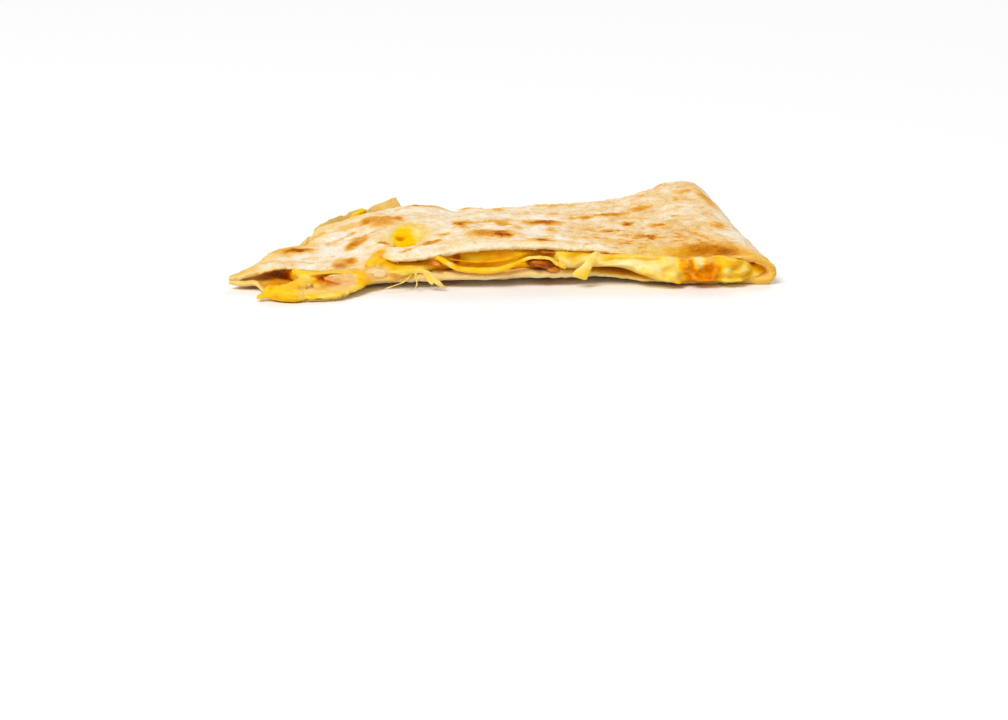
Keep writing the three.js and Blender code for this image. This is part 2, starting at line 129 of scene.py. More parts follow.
# Tortilla ----------------------------------------------------------------------------------
# One round of flour dough, rolled thin, baked and folded in half. The knife has left a front
# and a back cut; at the left is the round's own rim, thin and greasy. The top leaf is torn.
TORTILLA_RADIUS = 152
FRONT_CUT = 57  # from the middle of the tortilla to the front cut
SLICE_WIDTH = 60
HALF = SLICE_WIDTH / 2
LEAF = 2.1
RIM_LEAF = ((-30, 2.1), (-25, 1.5), (-14, 0.8), (30, 0.7))  # y, thickness at the rim
RIM_TAPER = 8
FOLD_X = 70
TOP_FRONT = (  # x, height of the top leaf's upper face at the front cut
    (-70.5, 3.9), (-65, 5), (-58, 6.2), (-50, 6.3), (-40, 6.6), (-36.5, 6.9), (-31.3, 9.1),
    (-21, 10.1), (-12, 11.3), (-5, 11.8), (8, 11.6), (19, 10.8), (29, 9.9), (38, 9.3),
    (46, 9.3), (54, 9.2), (59, 8.9), (63, 8.3),
)
TOP_MIDDLE = (  # the same half way between the cuts
    (-60, 7.1), (-50, 7.2), (-40, 7.8), (-33, 9.2), (-26, 10), (-12, 10.6), (8, 10.6),
    (25, 10), (38, 10.4), (48, 11.3), (56, 11.6), (60, 11.2),
)
TOP_BACK = (  # and at the back cut
    (-30, 7.8), (-22, 8.5), (-15, 8.7), (-10, 6.8), (-5, 7.6), (3, 7.7), (18, 8.7), (29, 9.5),
    (35, 10.3), (39, 11.1), (43, 12.4), (46, 13.4), (50, 14.9), (57, 15.2),
)
FOLD_START = (62, 55)  # x at the front and back cut where the top leaf turns down,
FOLD_OUTER = (69.4, 62.8)  # of the outermost point and its height, and of the lower end
FOLD_OUTER_Z = (2.9, 6)
FOLD_END = (67.2, 57)
FOLD_WAIST = 0.8
FOLD_ROUND = 0.55
TOP_RIM_SHORT = (  # y, how far the top leaf stops short of the round
    (-30, 0), (-28, 1.4), (-25, 4), (-17, 4), (-13, 5), (-9, 8), (-4, 7), (2, 4), (8, 1),
    (14, 0.5), (20, 2), (30, 2),
)
BOTTOM_RIM_PAST = (  # y, how far the bottom leaf reaches past it
    (-30, 0), (-20, -2), (-8, -1), (4, 2), (14, 3.5), (22, 4), (30, -1),
)
RIM_NOTCHES = (  # y, width and depth of the small tears in the curled rim
    (25.3, 0.6, 0.5), (21.6, 0.5, 0.6), (10.5, 0.8, 1), (-4, 1.2, 0.6),
)
CURL_HEIGHT = (  # y, how high the rim of the bottom leaf curls up
    (-30, 0.5), (-26, 0.8), (-20, 2.2), (-8, 2.8), (0, 2.6), (5, 3.2), (9, 4.7), (12, 6.2),
    (15, 6.9), (20, 7.6), (24, 8.5), (27, 9.3), (30, 10.6),
)
CURL_WIDTH = 11
CURL_BEND = 1.8
BOTTOM_LIFT = (  # x, how far the bottom leaf is lifted at the front cut
    (-71, 0.7), (-62, 0.2), (-56, 0), (-44, 0), (-38, 0.6), (-31, 1.2), (-16, 1.9), (0, 2.2),
    (22, 2.2), (34, 1.3), (50, 0.3), (58, 0),
)
LIFT_WIDTH = 16
LIP_OUT = (  # x, how far it has slid out past the front cut
    (-66, 0), (-63, 2), (-60, 6), (-56, 10.5), (-50, 12.5), (-44, 11), (-41, 8.5), (-38, 2),
    (-34, 0), (18, 0), (24, -2.5), (32, -2.5), (36, 0),
)
CUT_EDGE = (  # x, how much of the leaf's thickness is left at the front cut
    (-70, 0.8), (-64, 0.62), (-57, 0.38), (-44, 0.42), (-36, 0.5), (-30, 0.95), (-20, 1.05),
    (16, 0.95), (27, 0.6), (54, 0.5), (61, 1),
)
CUT_EDGE_WIDTH = 5
EDGE_DROOP = (  # x, how far the top leaf's front edge hangs down
    (-60, 0), (-53, 0.6), (-44, 1.3), (-37, 1.1), (-31, 0.8), (-21, 0.6), (-12, 0), (24, 0),
    (34, 0.9), (40, 1.1), (47, 1.9), (52, 1.3), (58, 0.9), (63, 0),
)
BLISTERS = (  # x, y, length, width, height
    (-54, -17, 8, 6, 0.5), (-43, -28, 6, 4, 0.4), (-38, -12, 5, 7, 0.5), (-31, 7, 9, 9, 0.8),
    (-18, 23, 9, 6, 0.5), (-9, -6, 5, 6, 0.6), (-2, -19, 9, 6, 0.7), (3, 1, 8, 4, 0.4),
    (-6, 29, 3.4, 5, 0.5), (13, -3, 8, 5, 0.6), (9, -27, 6, 3, 0.4), (29, 8, 11, 4, 0.5),
    (35, -17, 9, 4, 0.5), (51, 9, 7, 4, 0.4), (42, -6, 5, 3, 0.4),
)
CREASES = (  # from x, y to x, y, width and depth
    (47.5, -14.6, 54.8, -23.2, 0.7, 0.5), (50.4, -11.1, 57.9, -25.2, 0.8, 0.55),
    (56.7, -25.5, 63.6, -28.6, 0.9, 0.5), (46.4, -12.6, 51.8, -19.1, 0.6, 0.5),
    (51.5, -20.7, 55.8, -26.6, 0.6, 0.5), (44, -20, 52, -22, 0.6, 0.4),
    (-7.8, -29, -8.6, -24, 0.3, 0.5), (-27.3, -28.5, -23.2, -26.1, 0.4, 0.55),
    (-22, -24.8, -15.4, -22.5, 0.6, 0.45), (-35.4, -8.1, -33.2, -4.2, 0.5, 0.5),
    (-52, -24, -44, -22, 0.8, 0.3), (-62, -24, -50, -27, 0.8, 0.3), (-44, -8, -38, -2, 0.6, 0.3),
    (-14, 10, 0, 13, 0.8, 0.3), (20, -14, 30, -12, 0.7, 0.3), (-3, -27.5, 8, -28.5, 0.7, 0.25),
    (36, 4, 44, 2, 0.7, 0.3), (24, 18, 40, 19, 0.8, 0.3), (-12, -10, -4, -11.5, 0.6, 0.25),
    (16, -20, 27, -19, 0.6, 0.3), (-52.7, -8.3, -46.8, 1.5, 0.9, 0.3),
    (-46.8, 1.5, -40.6, 5, 0.9, 0.35), (-40.6, 5, -31.6, 7.5, 0.9, 0.3),
)
TEARS = (  # outlines of the hole and of the split in front of it
    ((-28.6, -19.6), (-28.2, -13), (-27, -7.5), (-25.4, -1.8), (-23.6, -0.2), (-21.8, -3.8),
     (-20.6, -10.5), (-21.8, -17), (-23.6, -21.4), (-26, -22.8), (-28.2, -21.8)),
    ((-37.2, -31.5), (-35.5, -28.5), (-33.9, -25.6), (-32.8, -23.6), (-31.4, -23), (-30.8, -25),
     (-31.9, -27.2), (-31.5, -28.8), (-30.4, -31.5)),
)
RAGGED = 0.7  # how far the torn edge strays from these outlines


def through(stations, place):
    """A smooth curve through (place, value) stations, level beyond both ends."""
    at, value = np.array(stations, float).T
    slope = np.zeros(len(at))
    slope[1:-1] = (value[2:] - value[:-2]) / (at[2:] - at[:-2])
    place = np.clip(place, at[0], at[-1])
    k = np.clip(np.searchsorted(at, place, side="right") - 1, 0, len(at) - 2)
    span = at[k + 1] - at[k]
    u = (place - at[k]) / span
    bend = slope[k] * u * (1 - u) ** 2 - slope[k + 1] * u * u * (1 - u)
    return value[k] + (value[k + 1] - value[k]) * u * u * (3 - 2 * u) + span * bend


def step(value, low, high):
    """0 below low, 1 above high, and smooth between."""
    u = np.clip((value - low) / (high - low), 0, 1)
    return u * u * (3 - 2 * u)


def fade(value, low, high):
    """1 below low, 0 above high, and smooth between."""
    return 1 - step(value, low, high)


def stretch(value, start, full, last, end):
    """1 from full to last, 0 before start and after end."""
    return step(value, start, full) * fade(value, last, end)


def beside(away, width):
    """1 where nothing is away, and soon 0: a soft band of that half width."""
    return np.exp(-((away / width) ** 2))


def spot(x, y, spot_x, spot_y, long, wide):
    """1 in the middle of a soft oval spot, and soon 0 past its half length and half width."""
    return np.exp(-((x - spot_x) / long) ** 2 - ((y - spot_y) / wide) ** 2)


def clouds(points, size, seed=0.0, octaves=3):
    """Soft noise from about -1 to 1, with clouds of that size in millimetres."""
    shift = Vector((seed, seed * 0.37, -seed))
    return np.array([noise.fractal(Vector(p) / size + shift, 0.8, 2.0, octaves) for p in points])


def layered(points, *layers):
    """Layers of clouds, each with its height, size, seed, octaves and squeeze along x."""
    return sum(
        high * clouds(points * (squeeze, 1, 1), size, seed, octaves)
        for high, size, seed, octaves, squeeze in layers
    )


def across(y):
    """0 at the front cut and 1 at the back cut."""
    return (y + HALF) / SLICE_WIDTH


def rim_arc(y):
    """x of the round's own rim."""
    return FOLD_X - np.sqrt(TORTILLA_RADIUS**2 - (FRONT_CUT + HALF + y) ** 2)


def top_rim(y):
    return rim_arc(y) + through(TOP_RIM_SHORT, y)


def bottom_rim(y):
    return rim_arc(y) - through(BOTTOM_RIM_PAST, y)


def top_face(x, y):
    """Upper face of the top leaf, over its whole length."""
    t = across(y)
    height = through(TOP_FRONT, x) * (1 - t) * (1 - 2 * t)
    height = height + through(TOP_MIDDLE, x) * 4 * t * (1 - t)
    height = height + through(TOP_BACK, x) * t * (2 * t - 1)
    for bx, by, long, wide, high in BLISTERS:
        height = height + high * np.exp(-2 * (((x - bx) / long) ** 2 + ((y - by) / wide) ** 2))
    return height


def bottom_face(x, y):
    """Lower face of the bottom leaf: flat, lifted along the front cut, curled at the rim."""
    lift = through(BOTTOM_LIFT, x) * fade(y, -HALF, LIFT_WIDTH - HALF)
    from_rim = np.maximum(x - bottom_rim(y), 0)
    return lift + through(CURL_HEIGHT, y) * np.maximum(1 - from_rim / CURL_WIDTH, 0) ** CURL_BEND


def leaf_thickness(x, y, from_rim):
    """Thin at the rim, and along the stretches of the front cut that are greasy or torn."""
    rim = through(RIM_LEAF, y)
    thick = rim + (LEAF - rim) * step(from_rim, 0, RIM_TAPER)
    away = step(y, -HALF, CUT_EDGE_WIDTH - HALF)
    return thick * (through(CUT_EDGE, x) * (1 - away) + away)


def fold_at(y):
    """Where the fold starts, its outermost point and its height, and where it is flat again."""
    t = across(y)
    start, outer, outer_z, end = (
        low + (high - low) * t for low, high in (FOLD_START, FOLD_OUTER, FOLD_OUTER_Z, FOLD_END)
    )
    return start, outer - FOLD_WAIST * 4 * t * (1 - t), outer_z, end


TOP_CELLS = 264  # along the leaf: top, each half of the turn, bottom
TURN_CELLS = 14
BOTTOM_CELLS = 120
LEAF_CELLS = TOP_CELLS + 2 * TURN_CELLS + BOTTOM_CELLS
ROWS = 106  # from the front cut to the back cut
CUT_ROWS = 4  # through the thickness of the leaf
TOP_SHARE = TOP_CELLS / LEAF_CELLS
TURN_SHARE = TURN_CELLS / LEAF_CELLS
ROW_CROWDING = 1.2  # rows stand closer at the front cut
SNAP = 0.3  # corners this near to a torn edge are moved onto it


def bezier(u, a, b, c, d):
    """A curve from a to d, pulled to b and c."""
    return a * (1 - u) ** 3 + 3 * b * u * (1 - u) ** 2 + 3 * c * u * u * (1 - u) + d * u**3


def notches(y):
    """How far the small tears reach into the rim."""
    return sum(deep * beside(y - at, wide) for at, wide, deep in RIM_NOTCHES)


def leaf_middle(p, y):
    """Middle of the leaf at p, from 0 at the top rim to 1 at the bottom rim, and how thick."""
    start, outer, outer_z, end = fold_at(y)
    low = bottom_rim(y) + notches(y)
    top_x = top_rim(y) + (start - top_rim(y)) * np.clip(p / TOP_SHARE, 0, 1)
    top_thick = leaf_thickness(top_x, y, top_x - top_rim(y))
    x = top_x
    z = top_face(top_x, y) - top_thick / 2

    high_z = top_face(start, y) - LEAF / 2
    slope = (top_face(start, y) - top_face(start - 1, y)) * FOLD_ROUND * (outer - start)
    near, far = 1 - FOLD_ROUND, FOLD_ROUND
    u = np.clip((p - TOP_SHARE) / TURN_SHARE, 0, 1)
    turning = p > TOP_SHARE
    x = np.where(turning, bezier(u, start, start * near + outer * far, outer, outer), x)
    bent = bezier(u, high_z, high_z + slope, outer_z * near + high_z * far, outer_z)
    z = np.where(turning, bent, z)

    low_z = bottom_face(end, y) + LEAF / 2
    u = np.clip((p - TOP_SHARE - TURN_SHARE) / TURN_SHARE, 0, 1)
    turning = p > TOP_SHARE + TURN_SHARE
    x = np.where(turning, bezier(u, outer, outer, end * near + outer * far, end), x)
    z = np.where(turning, bezier(u, outer_z, outer_z * near + low_z * far, low_z, low_z), z)

    flat_from = TOP_SHARE + 2 * TURN_SHARE
    u = np.clip((p - flat_from) / (1 - flat_from), 0, 1)
    under = p > flat_from
    under_x = end + (low - end) * u
    under_thick = leaf_thickness(under_x, y, under_x - low)
    thick = np.where(p > TOP_SHARE, np.where(under, under_thick, LEAF), top_thick)
    x = np.where(under, under_x, x)
    z = np.where(under, bottom_face(under_x, y) + under_thick / 2, z)
    slid = y - through(LIP_OUT, under_x) * (1 - across(y)) ** 2
    return np.stack((x, np.where(under, slid, y), z), axis=1), thick


def place_of(p, q):
    """Place along x and y of a point of the top leaf, from its place on the grid."""
    y = -HALF + SLICE_WIDTH * q**ROW_CROWDING
    start = fold_at(y)[0]
    return top_rim(y) + (start - top_rim(y)) * p / TOP_SHARE, y


def grid_of(x, y):
    """The place on the grid of a point of the top leaf."""
    start = fold_at(y)[0]
    return TOP_SHARE * (x - top_rim(y)) / (start - top_rim(y)), across(y) ** (1 / ROW_CROWDING)


def torn_outline(corners):
    """A tear's outline in short steps, with the ragged edge of torn dough."""
    corners = np.array(corners + corners[:1])
    line = []
    for a, b in zip(corners[:-1], corners[1:]):
        count = max(2, int(np.linalg.norm(b - a) / 0.5))
        line += [a + (b - a) * i / count for i in range(count)]
    line = np.array(line)
    flat = np.column_stack((line, np.zeros(len(line))))
    ragged = np.column_stack((clouds(flat, 1.6, 3.0), clouds(flat, 1.6, 8.0)))
    line = line + RAGGED * ragged
    return list(zip(line, np.roll(line, -1, axis=0)))


def inside(edges, points):
    """Which points lie inside the closed outlines that the edges make."""
    within = np.zeros(len(points), bool)
    for a, b in edges:
        crosses = (a[1] > points[:, 1]) != (b[1] > points[:, 1])
        rise = b[1] - a[1] if b[1] != a[1] else 1e-9
        within ^= crosses & (points[:, 0] < (b[0] - a[0]) * (points[:, 1] - a[1]) / rise + a[0])
    return within


def nearest_on(edges, points):
    """The edges' nearest point to each point, and how far it is."""
    best = np.full(len(points), 1e9)
    found = np.array(points)
    for a, b in edges:
        along = np.clip((points - a) @ (b - a) / max((b - a) @ (b - a), 1e-12), 0, 1)
        foot = a + along[:, None] * (b - a)
        away = np.linalg.norm(points - foot, axis=1)
        found[away < best] = foot[away < best]
        best = np.minimum(best, away)
    return found, best


def corners_of(piece):
    """A piece's corners as rows of three numbers."""
    flat = np.empty(len(piece.data.vertices) * 3)
    piece.data.vertices.foreach_get("co", flat)
    return flat.reshape(-1, 3)


def move_corners(piece, places):
    piece.data.vertices.foreach_set("co", np.asarray(places, np.float32).ravel())
    piece.data.update()


def thicken(rows):
    """Extrudes the selected sheet by one unit, in rows, and leaves edit mode."""
    for row in range(rows):
        bpy.ops.mesh.extrude_region_move(TRANSFORM_OT_translate={"value": (0, 0, 1 / rows)})
    bpy.ops.object.mode_set(mode="OBJECT")


def paint(piece, name, values):
    """A value at each corner, held between 0 and 1, for the piece's material."""
    layer = piece.data.attributes.get(name) or piece.data.attributes.new(name, "FLOAT", "POINT")
    layer.data.foreach_set("value", np.clip(values, 0, 1).astype(np.float32))


def smooth(piece, angle=180):
    """Shades a piece smooth, but for edges that are sharper than the angle in degrees."""
    bpy.ops.object.select_all(action="DESELECT")
    piece.select_set(True)
    bpy.context.view_layer.objects.active = piece
    bpy.ops.object.shade_smooth_by_angle(angle=math.radians(angle))


bpy.ops.mesh.primitive_grid_add(x_subdivisions=LEAF_CELLS, y_subdivisions=ROWS, size=1)
tortilla = bpy.context.object
tortilla.name = "folded_tortilla"
flat = corners_of(tortilla) + (0.5, 0.5, 0)
torn_edges = [edge for corners in TEARS for edge in torn_outline(corners)]
on_top = np.flatnonzero(flat[:, 0] < TOP_SHARE)
places = np.column_stack(place_of(flat[on_top, 0], flat[on_top, 1]))
torn_at, away = nearest_on(torn_edges, places)
near = (away < SNAP) & (torn_at[:, 1] > -HALF)
flat[on_top[near], 0], flat[on_top[near], 1] = grid_of(torn_at[near, 0], torn_at[near, 1])
move_corners(tortilla, flat)

centres = np.empty(len(tortilla.data.polygons) * 3)
tortilla.data.polygons.foreach_get("center", centres)
centres = centres.reshape(-1, 3)
over_tear = np.zeros(len(centres), bool)
top_cells = centres[:, 0] < TOP_SHARE
over_tear[top_cells] = inside(torn_edges, np.column_stack(place_of(*centres[top_cells, :2].T)))
bpy.ops.object.mode_set(mode="EDIT")
bpy.ops.mesh.select_mode(type="FACE")
bpy.ops.mesh.select_all(action="DESELECT")
bpy.ops.object.mode_set(mode="OBJECT")
tortilla.data.polygons.foreach_set("select", over_tear)
bpy.ops.object.mode_set(mode="EDIT")
bpy.ops.mesh.delete(type="FACE")
bpy.ops.mesh.select_all(action="SELECT")
thicken(CUT_ROWS)

STEP_P, STEP_Y = 4e-4, 0.05  # short steps along and across the leaf, to find its normal
NO_TEAR = 99.0  # how far the bottom leaf is from any tear
BOTTOM_SHIFT = 100.0  # sets the bottom leaf's clouds apart from the top leaf's

p, q, side = corners_of(tortilla).T
y = -HALF + SLICE_WIDTH * np.clip(q, 0, 1) ** ROW_CROWDING
middle, thick = leaf_middle(p, y)
ahead = leaf_middle(np.minimum(p + STEP_P, 1), y)[0] - leaf_middle(np.maximum(p - STEP_P, 0), y)[0]
sideways = leaf_middle(p, y + STEP_Y)[0] - leaf_middle(p, y - STEP_Y)[0]
outward = np.cross(ahead, sideways)
outward /= np.linalg.norm(outward, axis=1)[:, None]

x = middle[:, 0]
on_top = p < TOP_SHARE + TURN_SHARE
in_front = y < 0
is_outer = side > 0.99
is_inner = side < 0.01
is_cut = ~is_outer & ~is_inner
from_cut = np.minimum(y + HALF, HALF - y)
from_rim = np.where(on_top, x - top_rim(y), x - bottom_rim(y) - notches(y))
from_tear = np.full(len(y), NO_TEAR)
from_tear[on_top] = nearest_on(torn_edges, np.column_stack((x, y))[on_top])[1]
surface = np.column_stack((x, y, np.where(on_top, 0.0, BOTTOM_SHIFT)))

EDGE_ROUND = 1.1  # the edges of the leaf are worn round over this width,
EDGE_WORN = 0.34  # and lose this share of its thickness
TORN_WIDTH = 3.5  # along a tear it is drawn thin over this width,
TORN_THIN = 0.5  # and loses this share
BUCKLES = (  # layers of clouds: height, size, seed, octaves, squeeze
    (0.34, 12, 1, 2, 1), (0.24, 4.5, 4, 2, 1),
)
GRAIN = ((0.19, 1.4, 5.0, 3, 1), (0.27, 3.2, 9.0, 2, 0.5))
WRINKLES = (1, 4.0, 14.0, 2, 0.45)  # they run where these clouds are near 0
WRINKLE_WIDTH = 0.25
WRINKLE_DEPTH = 0.16
CREASE_WANDER = (0.6, 2.6, 23.0, 2, 1)
TEAR_WAVES = (1, 3, 27.0, 2, 1)
TEAR_MIDDLE = -26  # the torn edge waves this high, left and right of it,
TEAR_LIFT = (0.5, 0.25)
TEAR_REACH = 1.8  # and this far into the leaf
EDGE_BUMPS = (0.2, 1.2, 57.0, 2, 1)
SPLIT_X = -33  # the front edge droops over these widths, left and right of it
DROOP_WIDTH = (3.0, 2.0)
TORN_POINT = (-67.5, -64.2, -63.8, -62.6)  # x where the point of the bottom leaf hangs down,
TORN_POINT_WIDTH = 2.5  # and how wide a strip of its edge does
CUT_WOBBLE = 0.5  # how far the knife strayed
CUT_ROUGHNESS = 0.42  # how rough the cut is, and over what width
ROUGH_WIDTH = 1.4
CUT_SWELL = 0.4  # the crumb stands out of the cut by this share of the leaf
RIM_ROUGHNESS = 0.4
RIM_WIDTH = 2.5
FLOOR_GAP = 0.02  # no corner lies lower than this


def creased(points):
    """How deep the creases are at each place, along lines that wander a little."""
    wander = layered(points, CREASE_WANDER)
    deepest = np.zeros(len(points))
    for ax, ay, bx, by, wide, deep in CREASES:
        line = np.array((bx - ax, by - ay))
        along = np.clip(((points[:, :2] - (ax, ay)) @ line) / (line @ line), 0, 1)
        away = np.linalg.norm(points[:, :2] - (ax, ay) - along[:, None] * line, axis=1)
        deepest = np.maximum(deepest, deep * beside(away + wander, wide))
    return deepest


from_edge = np.minimum(from_cut, np.minimum(from_tear, np.maximum(from_rim, 0)))
worn = np.sqrt(1 - (1 - np.clip(from_edge / EDGE_ROUND, 0, 1)) ** 2)
thick = thick * (1 - EDGE_WORN + EDGE_WORN * worn) * (1 - TORN_THIN * fade(from_tear, 0, TORN_WIDTH))
buckle = layered(surface, *BUCKLES) * step(from_cut, 0, 3)
wrinkle = np.maximum(0, WRINKLE_WIDTH - np.abs(layered(surface, WRINKLES))) / WRINKLE_WIDTH
crease = creased(surface) * on_top
relief = layered(surface, *GRAIN) - WRINKLE_DEPTH * wrinkle * step(from_cut, 0, 2) - crease
lift = buckle + (side - 0.5) * thick + relief * np.where(is_outer, 1, 0.5) * ~is_cut
droop = through(EDGE_DROOP, x) * on_top * in_front
lift = lift - droop * beside(from_cut, np.where(x < SPLIT_X, *DROOP_WIDTH))
torn_point = stretch(x, *TORN_POINT) * ~on_top * in_front
lift = lift - torn_point * beside(from_cut, TORN_POINT_WIDTH)
tear_lift = np.where(x < TEAR_MIDDLE, *TEAR_LIFT) * np.exp(-from_tear / TEAR_REACH)
lift = lift + tear_lift * layered(surface, TEAR_WAVES)
lift = lift + layered(surface, EDGE_BUMPS) * beside(from_cut, 0.9)
shape = middle + outward * lift[:, None]

inward = np.where(in_front, 1, -1)
wobble = CUT_WOBBLE * (np.sin(shape[:, 0] / 7.3) + 0.5 * np.sin(shape[:, 0] / 2.9 + 1))
on_cut = np.column_stack((shape[:, 0], y, shape[:, 2]))
cut_noise = clouds(on_cut * (1, 1, 1.6), 1.3, 20.0, 3) + 0.6 * clouds(on_cut, 4.5, 21.0, 2)
rough = beside(from_cut, ROUGH_WIDTH) * inward * CUT_ROUGHNESS * cut_noise
shape[:, 1] += wobble * step(-from_cut, -8, 0) + rough
bulge = inward * CUT_SWELL * thick * np.sin(side * math.pi)
shape[:, 1] -= np.where(is_cut & (from_cut < 0.01), bulge, 0)
rim_noise = clouds(surface * (0, 1, 1), 1.2, 44.0, 3) * beside(from_rim, RIM_WIDTH)
shape[:, 0] += RIM_ROUGHNESS * rim_noise * step(from_cut, 0, 1)
shape[:, 2] = np.maximum(shape[:, 2], FLOOR_GAP)
move_corners(tortilla, (shape + SLICE_AT) * MM)
smooth(tortilla, 70)

TOAST = (  # x, y, half length, half width, turn, how brown
    (-53.6, -16.2, 4.2, 3.3, 0.1, 1), (-54, -16.4, 6.6, 5, 0.1, 0.42),
    (-51, -7, 1, 1.8, 0, 0.6), (-42.6, -30, 2.6, 3.6, 0, 0.85), (-40.6, -26.4, 3.2, 2.4, 0.3, 0.6),
    (-43.4, -32, 3.4, 4.4, 0, 0.35), (-38.3, -13.2, 2.2, 5.2, -0.45, 0.75),
    (-39.4, -0.8, 1, 1.2, 0, 0.6), (-36, -7, 1, 3, -0.6, 0.4), (-30.8, 7, 6.2, 7, 0, 0.5),
    (-34.6, 7, 2.2, 4.4, 0, 0.68), (-26.6, 6, 1.8, 4, 0, 0.66), (-31, 2, 4, 3, 0, 0.5),
    (-39.7, 6.2, 5, 5, 0, 0.2), (-18.2, 26, 5.4, 3.2, 0, 0.7), (-5.6, 29, 2, 3, 0, 0.5),
    (-10.4, -6.2, 1.9, 5.4, 0.2, 0.9), (-8.6, -4, 3, 5.5, 0, 0.5), (-1.3, -0.6, 6, 1.9, 0.1, 0.5),
    (2.6, 25.4, 2, 4, 0, 0.4), (1.6, -4.2, 2.6, 4, 0, 0.62), (-3.4, -19.3, 6.8, 5.2, 0.1, 0.6),
    (-0.6, -20.4, 2.9, 3.4, 0, 0.98), (-15.4, -15.4, 1.6, 1.7, 0, 0.45),
    (-19.2, -22.9, 3.4, 2, 0.3, 0.6), (-13, -26, 5, 4, 0.1, 0.14),
    (-31, -19.6, 2.4, 1.2, -0.8, 0.9), (12.2, -2.7, 5.4, 3, 0, 0.88),
    (16.7, 13.1, 2.8, 1.8, 0, 0.5), (8, 14, 2.4, 1.2, 0, 0.3), (13.5, -12.3, 1.8, 1.8, 0, 0.42),
    (9.4, -26.8, 2.4, 2.2, 0, 0.92), (9.4, -26.6, 4.4, 3.6, 0, 0.45), (24, 6.8, 5, 1.8, 0.1, 0.62),
    (23.8, -8.4, 3.2, 2.4, 0, 0.42), (32, 8.1, 6, 2, 0.12, 0.68),
    (40.5, 12.7, 4.2, 2, 0.4, 0.55), (35, -1.6, 2.1, 2.4, 0, 0.8), (27.2, -4.5, 1.3, 1.4, 0, 0.4),
    (29.9, -9.3, 4.2, 1.7, 0, 0.62), (42.3, -6.2, 2.9, 1.4, -0.2, 0.6),
    (37.5, -16.9, 5.8, 2, -0.1, 0.62), (38.5, -15.8, 2, 1.4, 0, 0.9),
    (31.4, -24.1, 2.2, 1.2, 0, 0.5), (36.3, -24.2, 1.4, 1.2, 0, 0.5), (46.5, -18, 3, 1.6, 0, 0.5),
    (48.1, 2.3, 1.8, 1, -0.5, 0.5), (42.4, 24, 1.4, 2, 0, 0.35), (50.5, 16.1, 1.6, 1.7, 0, 0.55),
    (54.1, 21.3, 3, 1.8, 0, 0.45), (59.5, 17, 2.6, 9, 0.2, 0.42), (58.4, -6.9, 3, 3.6, -0.2, 0.42),
    (48.2, -28.6, 4.6, 4.4, 0, 0.54), (56.6, -28.6, 4.4, 4.2, 0, 1), (53, -28, 11, 6, 0.05, 0.76),
    (29.5, -22.6, 13, 7, 0, 0.2), (20, 27, 9, 2, 0, 0.3), (5, -10, 3, 1.6, 0, 0.25),
    (20, -20, 4, 2, 0, 0.3),
)
TOASTED_CUT = (  # x, half length, how brown
    (23.6, 3.4, 0.75), (49, 3.2, 0.6), (57, 3.4, 0.5), (9, 2.4, 0.4), (-44, 5, 0.55),
)
LEFT_HOLLOW = (-67, -57, -54, -50)  # x where the inside of the leaf is darkened as painted shade in the hollows,
RIGHT_HOLLOW = (14, 24, 50, 58)
IN_FOLD = (56, 62)
HOLLOW_SHADE = (0.5, 0.2)  # how dark that painted shade is there, left and right,
HOLLOW_DEPTH = (-24, -10)  # and y over which that ends
FOLD_X_FRONT = (60, 64)  # x where the front of the fold begins
EDGE_TOAST = 0.22  # at the front of the fold, and at the greasy corner in front of the rim
GREASY_CORNER = (-69, -29, 7, 8)  # x, y, half length and half width of that corner,
OLIVE_PATCH = (-42, 10, 6.5, 8)  # of a thin patch that the grease has soaked,
DRY_FLAP = (-29, 28, 7, 9)  # of the white flap at the back of the rim,
FLOURY_FLAP = (-28, 27, 6, 7)  # of the flour on it,
FLECKED = (32, -20, 16, 12)  # and of the stretch with the most flecks
SPLIT_END = -20  # y that parts the split from the hole,
HOLE_X = -25  # and x of the middle of the hole
TEAR_STAIN = (1.4, 3.6, 3.2)  # how wide the grease is at the split, and right and left of the hole
RIM_GREASE = 6  # how wide it is at the rim, and how much wider at the back
RIM_GREASE_BACK = 3
EDGE_GREASE = ((24, 40), (-28.5, -24))  # x and y over which it begins and ends at the front
FOLD_GREASE = ((60, 65), (-29, -25))
CUT_GREASE = ((18, 34), (-40, -30))  # x over which it begins on the cut, to the right and left
FLOURY = (-52, -30)  # x over which the flour of the left end of the leaf ends,
FLOUR_RUBBED = (-9, 7)  # and y and half width of a strip without it
DARKER = (5, 50)  # x over which the leaf gets darker, and lighter again at the fold
LIGHTER = (56, 64)


def spotted(x, y, spots):
    """Browned spots: each has a soft rim, a flat field and a darker heart."""
    brown = np.zeros(len(x))
    for sx, sy, long, wide, turn, dark in spots:
        along = ((x - sx) * math.cos(turn) + (y - sy) * math.sin(turn)) / long
        over = ((y - sy) * math.cos(turn) - (x - sx) * math.sin(turn)) / wide
        out = along**2 + over**2
        field = 0.66 * np.exp(-(out**1.5)) + 0.34 * np.exp(-3 * out)
        brown = np.maximum(brown, dark * np.maximum(field, 0.22 * np.exp(-out / 2.4)))
    return brown


shift_x = layered(surface, (1, 4.0, 31.0, 3, 1), (0.4, 1.3, 33.0, 2, 1))
shift_y = layered(surface, (1, 4.0, 37.0, 3, 1), (0.4, 1.3, 39.0, 2, 1))
skin_x = shape[:, 0]
toast = spotted(skin_x + 1.2 * shift_x, y + 1.5 * shift_y, TOAST)
under_toast = 0.85 * step(clouds(surface, 9, 51.0, 2), 0.2, 0.8)
under_toast = under_toast + 0.3 * step(clouds(surface, 4, 53.0, 2), 0.3, 0.9)
toast = np.where(on_top, toast, under_toast)
# Painted shade: the inner faces are darkened deep in the left and right hollows and inside the fold,
# more so further in.
hollow_shade = HOLLOW_SHADE[0] * stretch(x, *LEFT_HOLLOW) + HOLLOW_SHADE[1] * stretch(x, *RIGHT_HOLLOW)
hollow_shade = hollow_shade + step(x, *IN_FOLD) * (0.1 + 0.3 * step(y, -29, -22))
hollow_shade = hollow_shade * is_inner * fade(y, *HOLLOW_DEPTH)
corner = spot(x, y, *GREASY_CORNER)
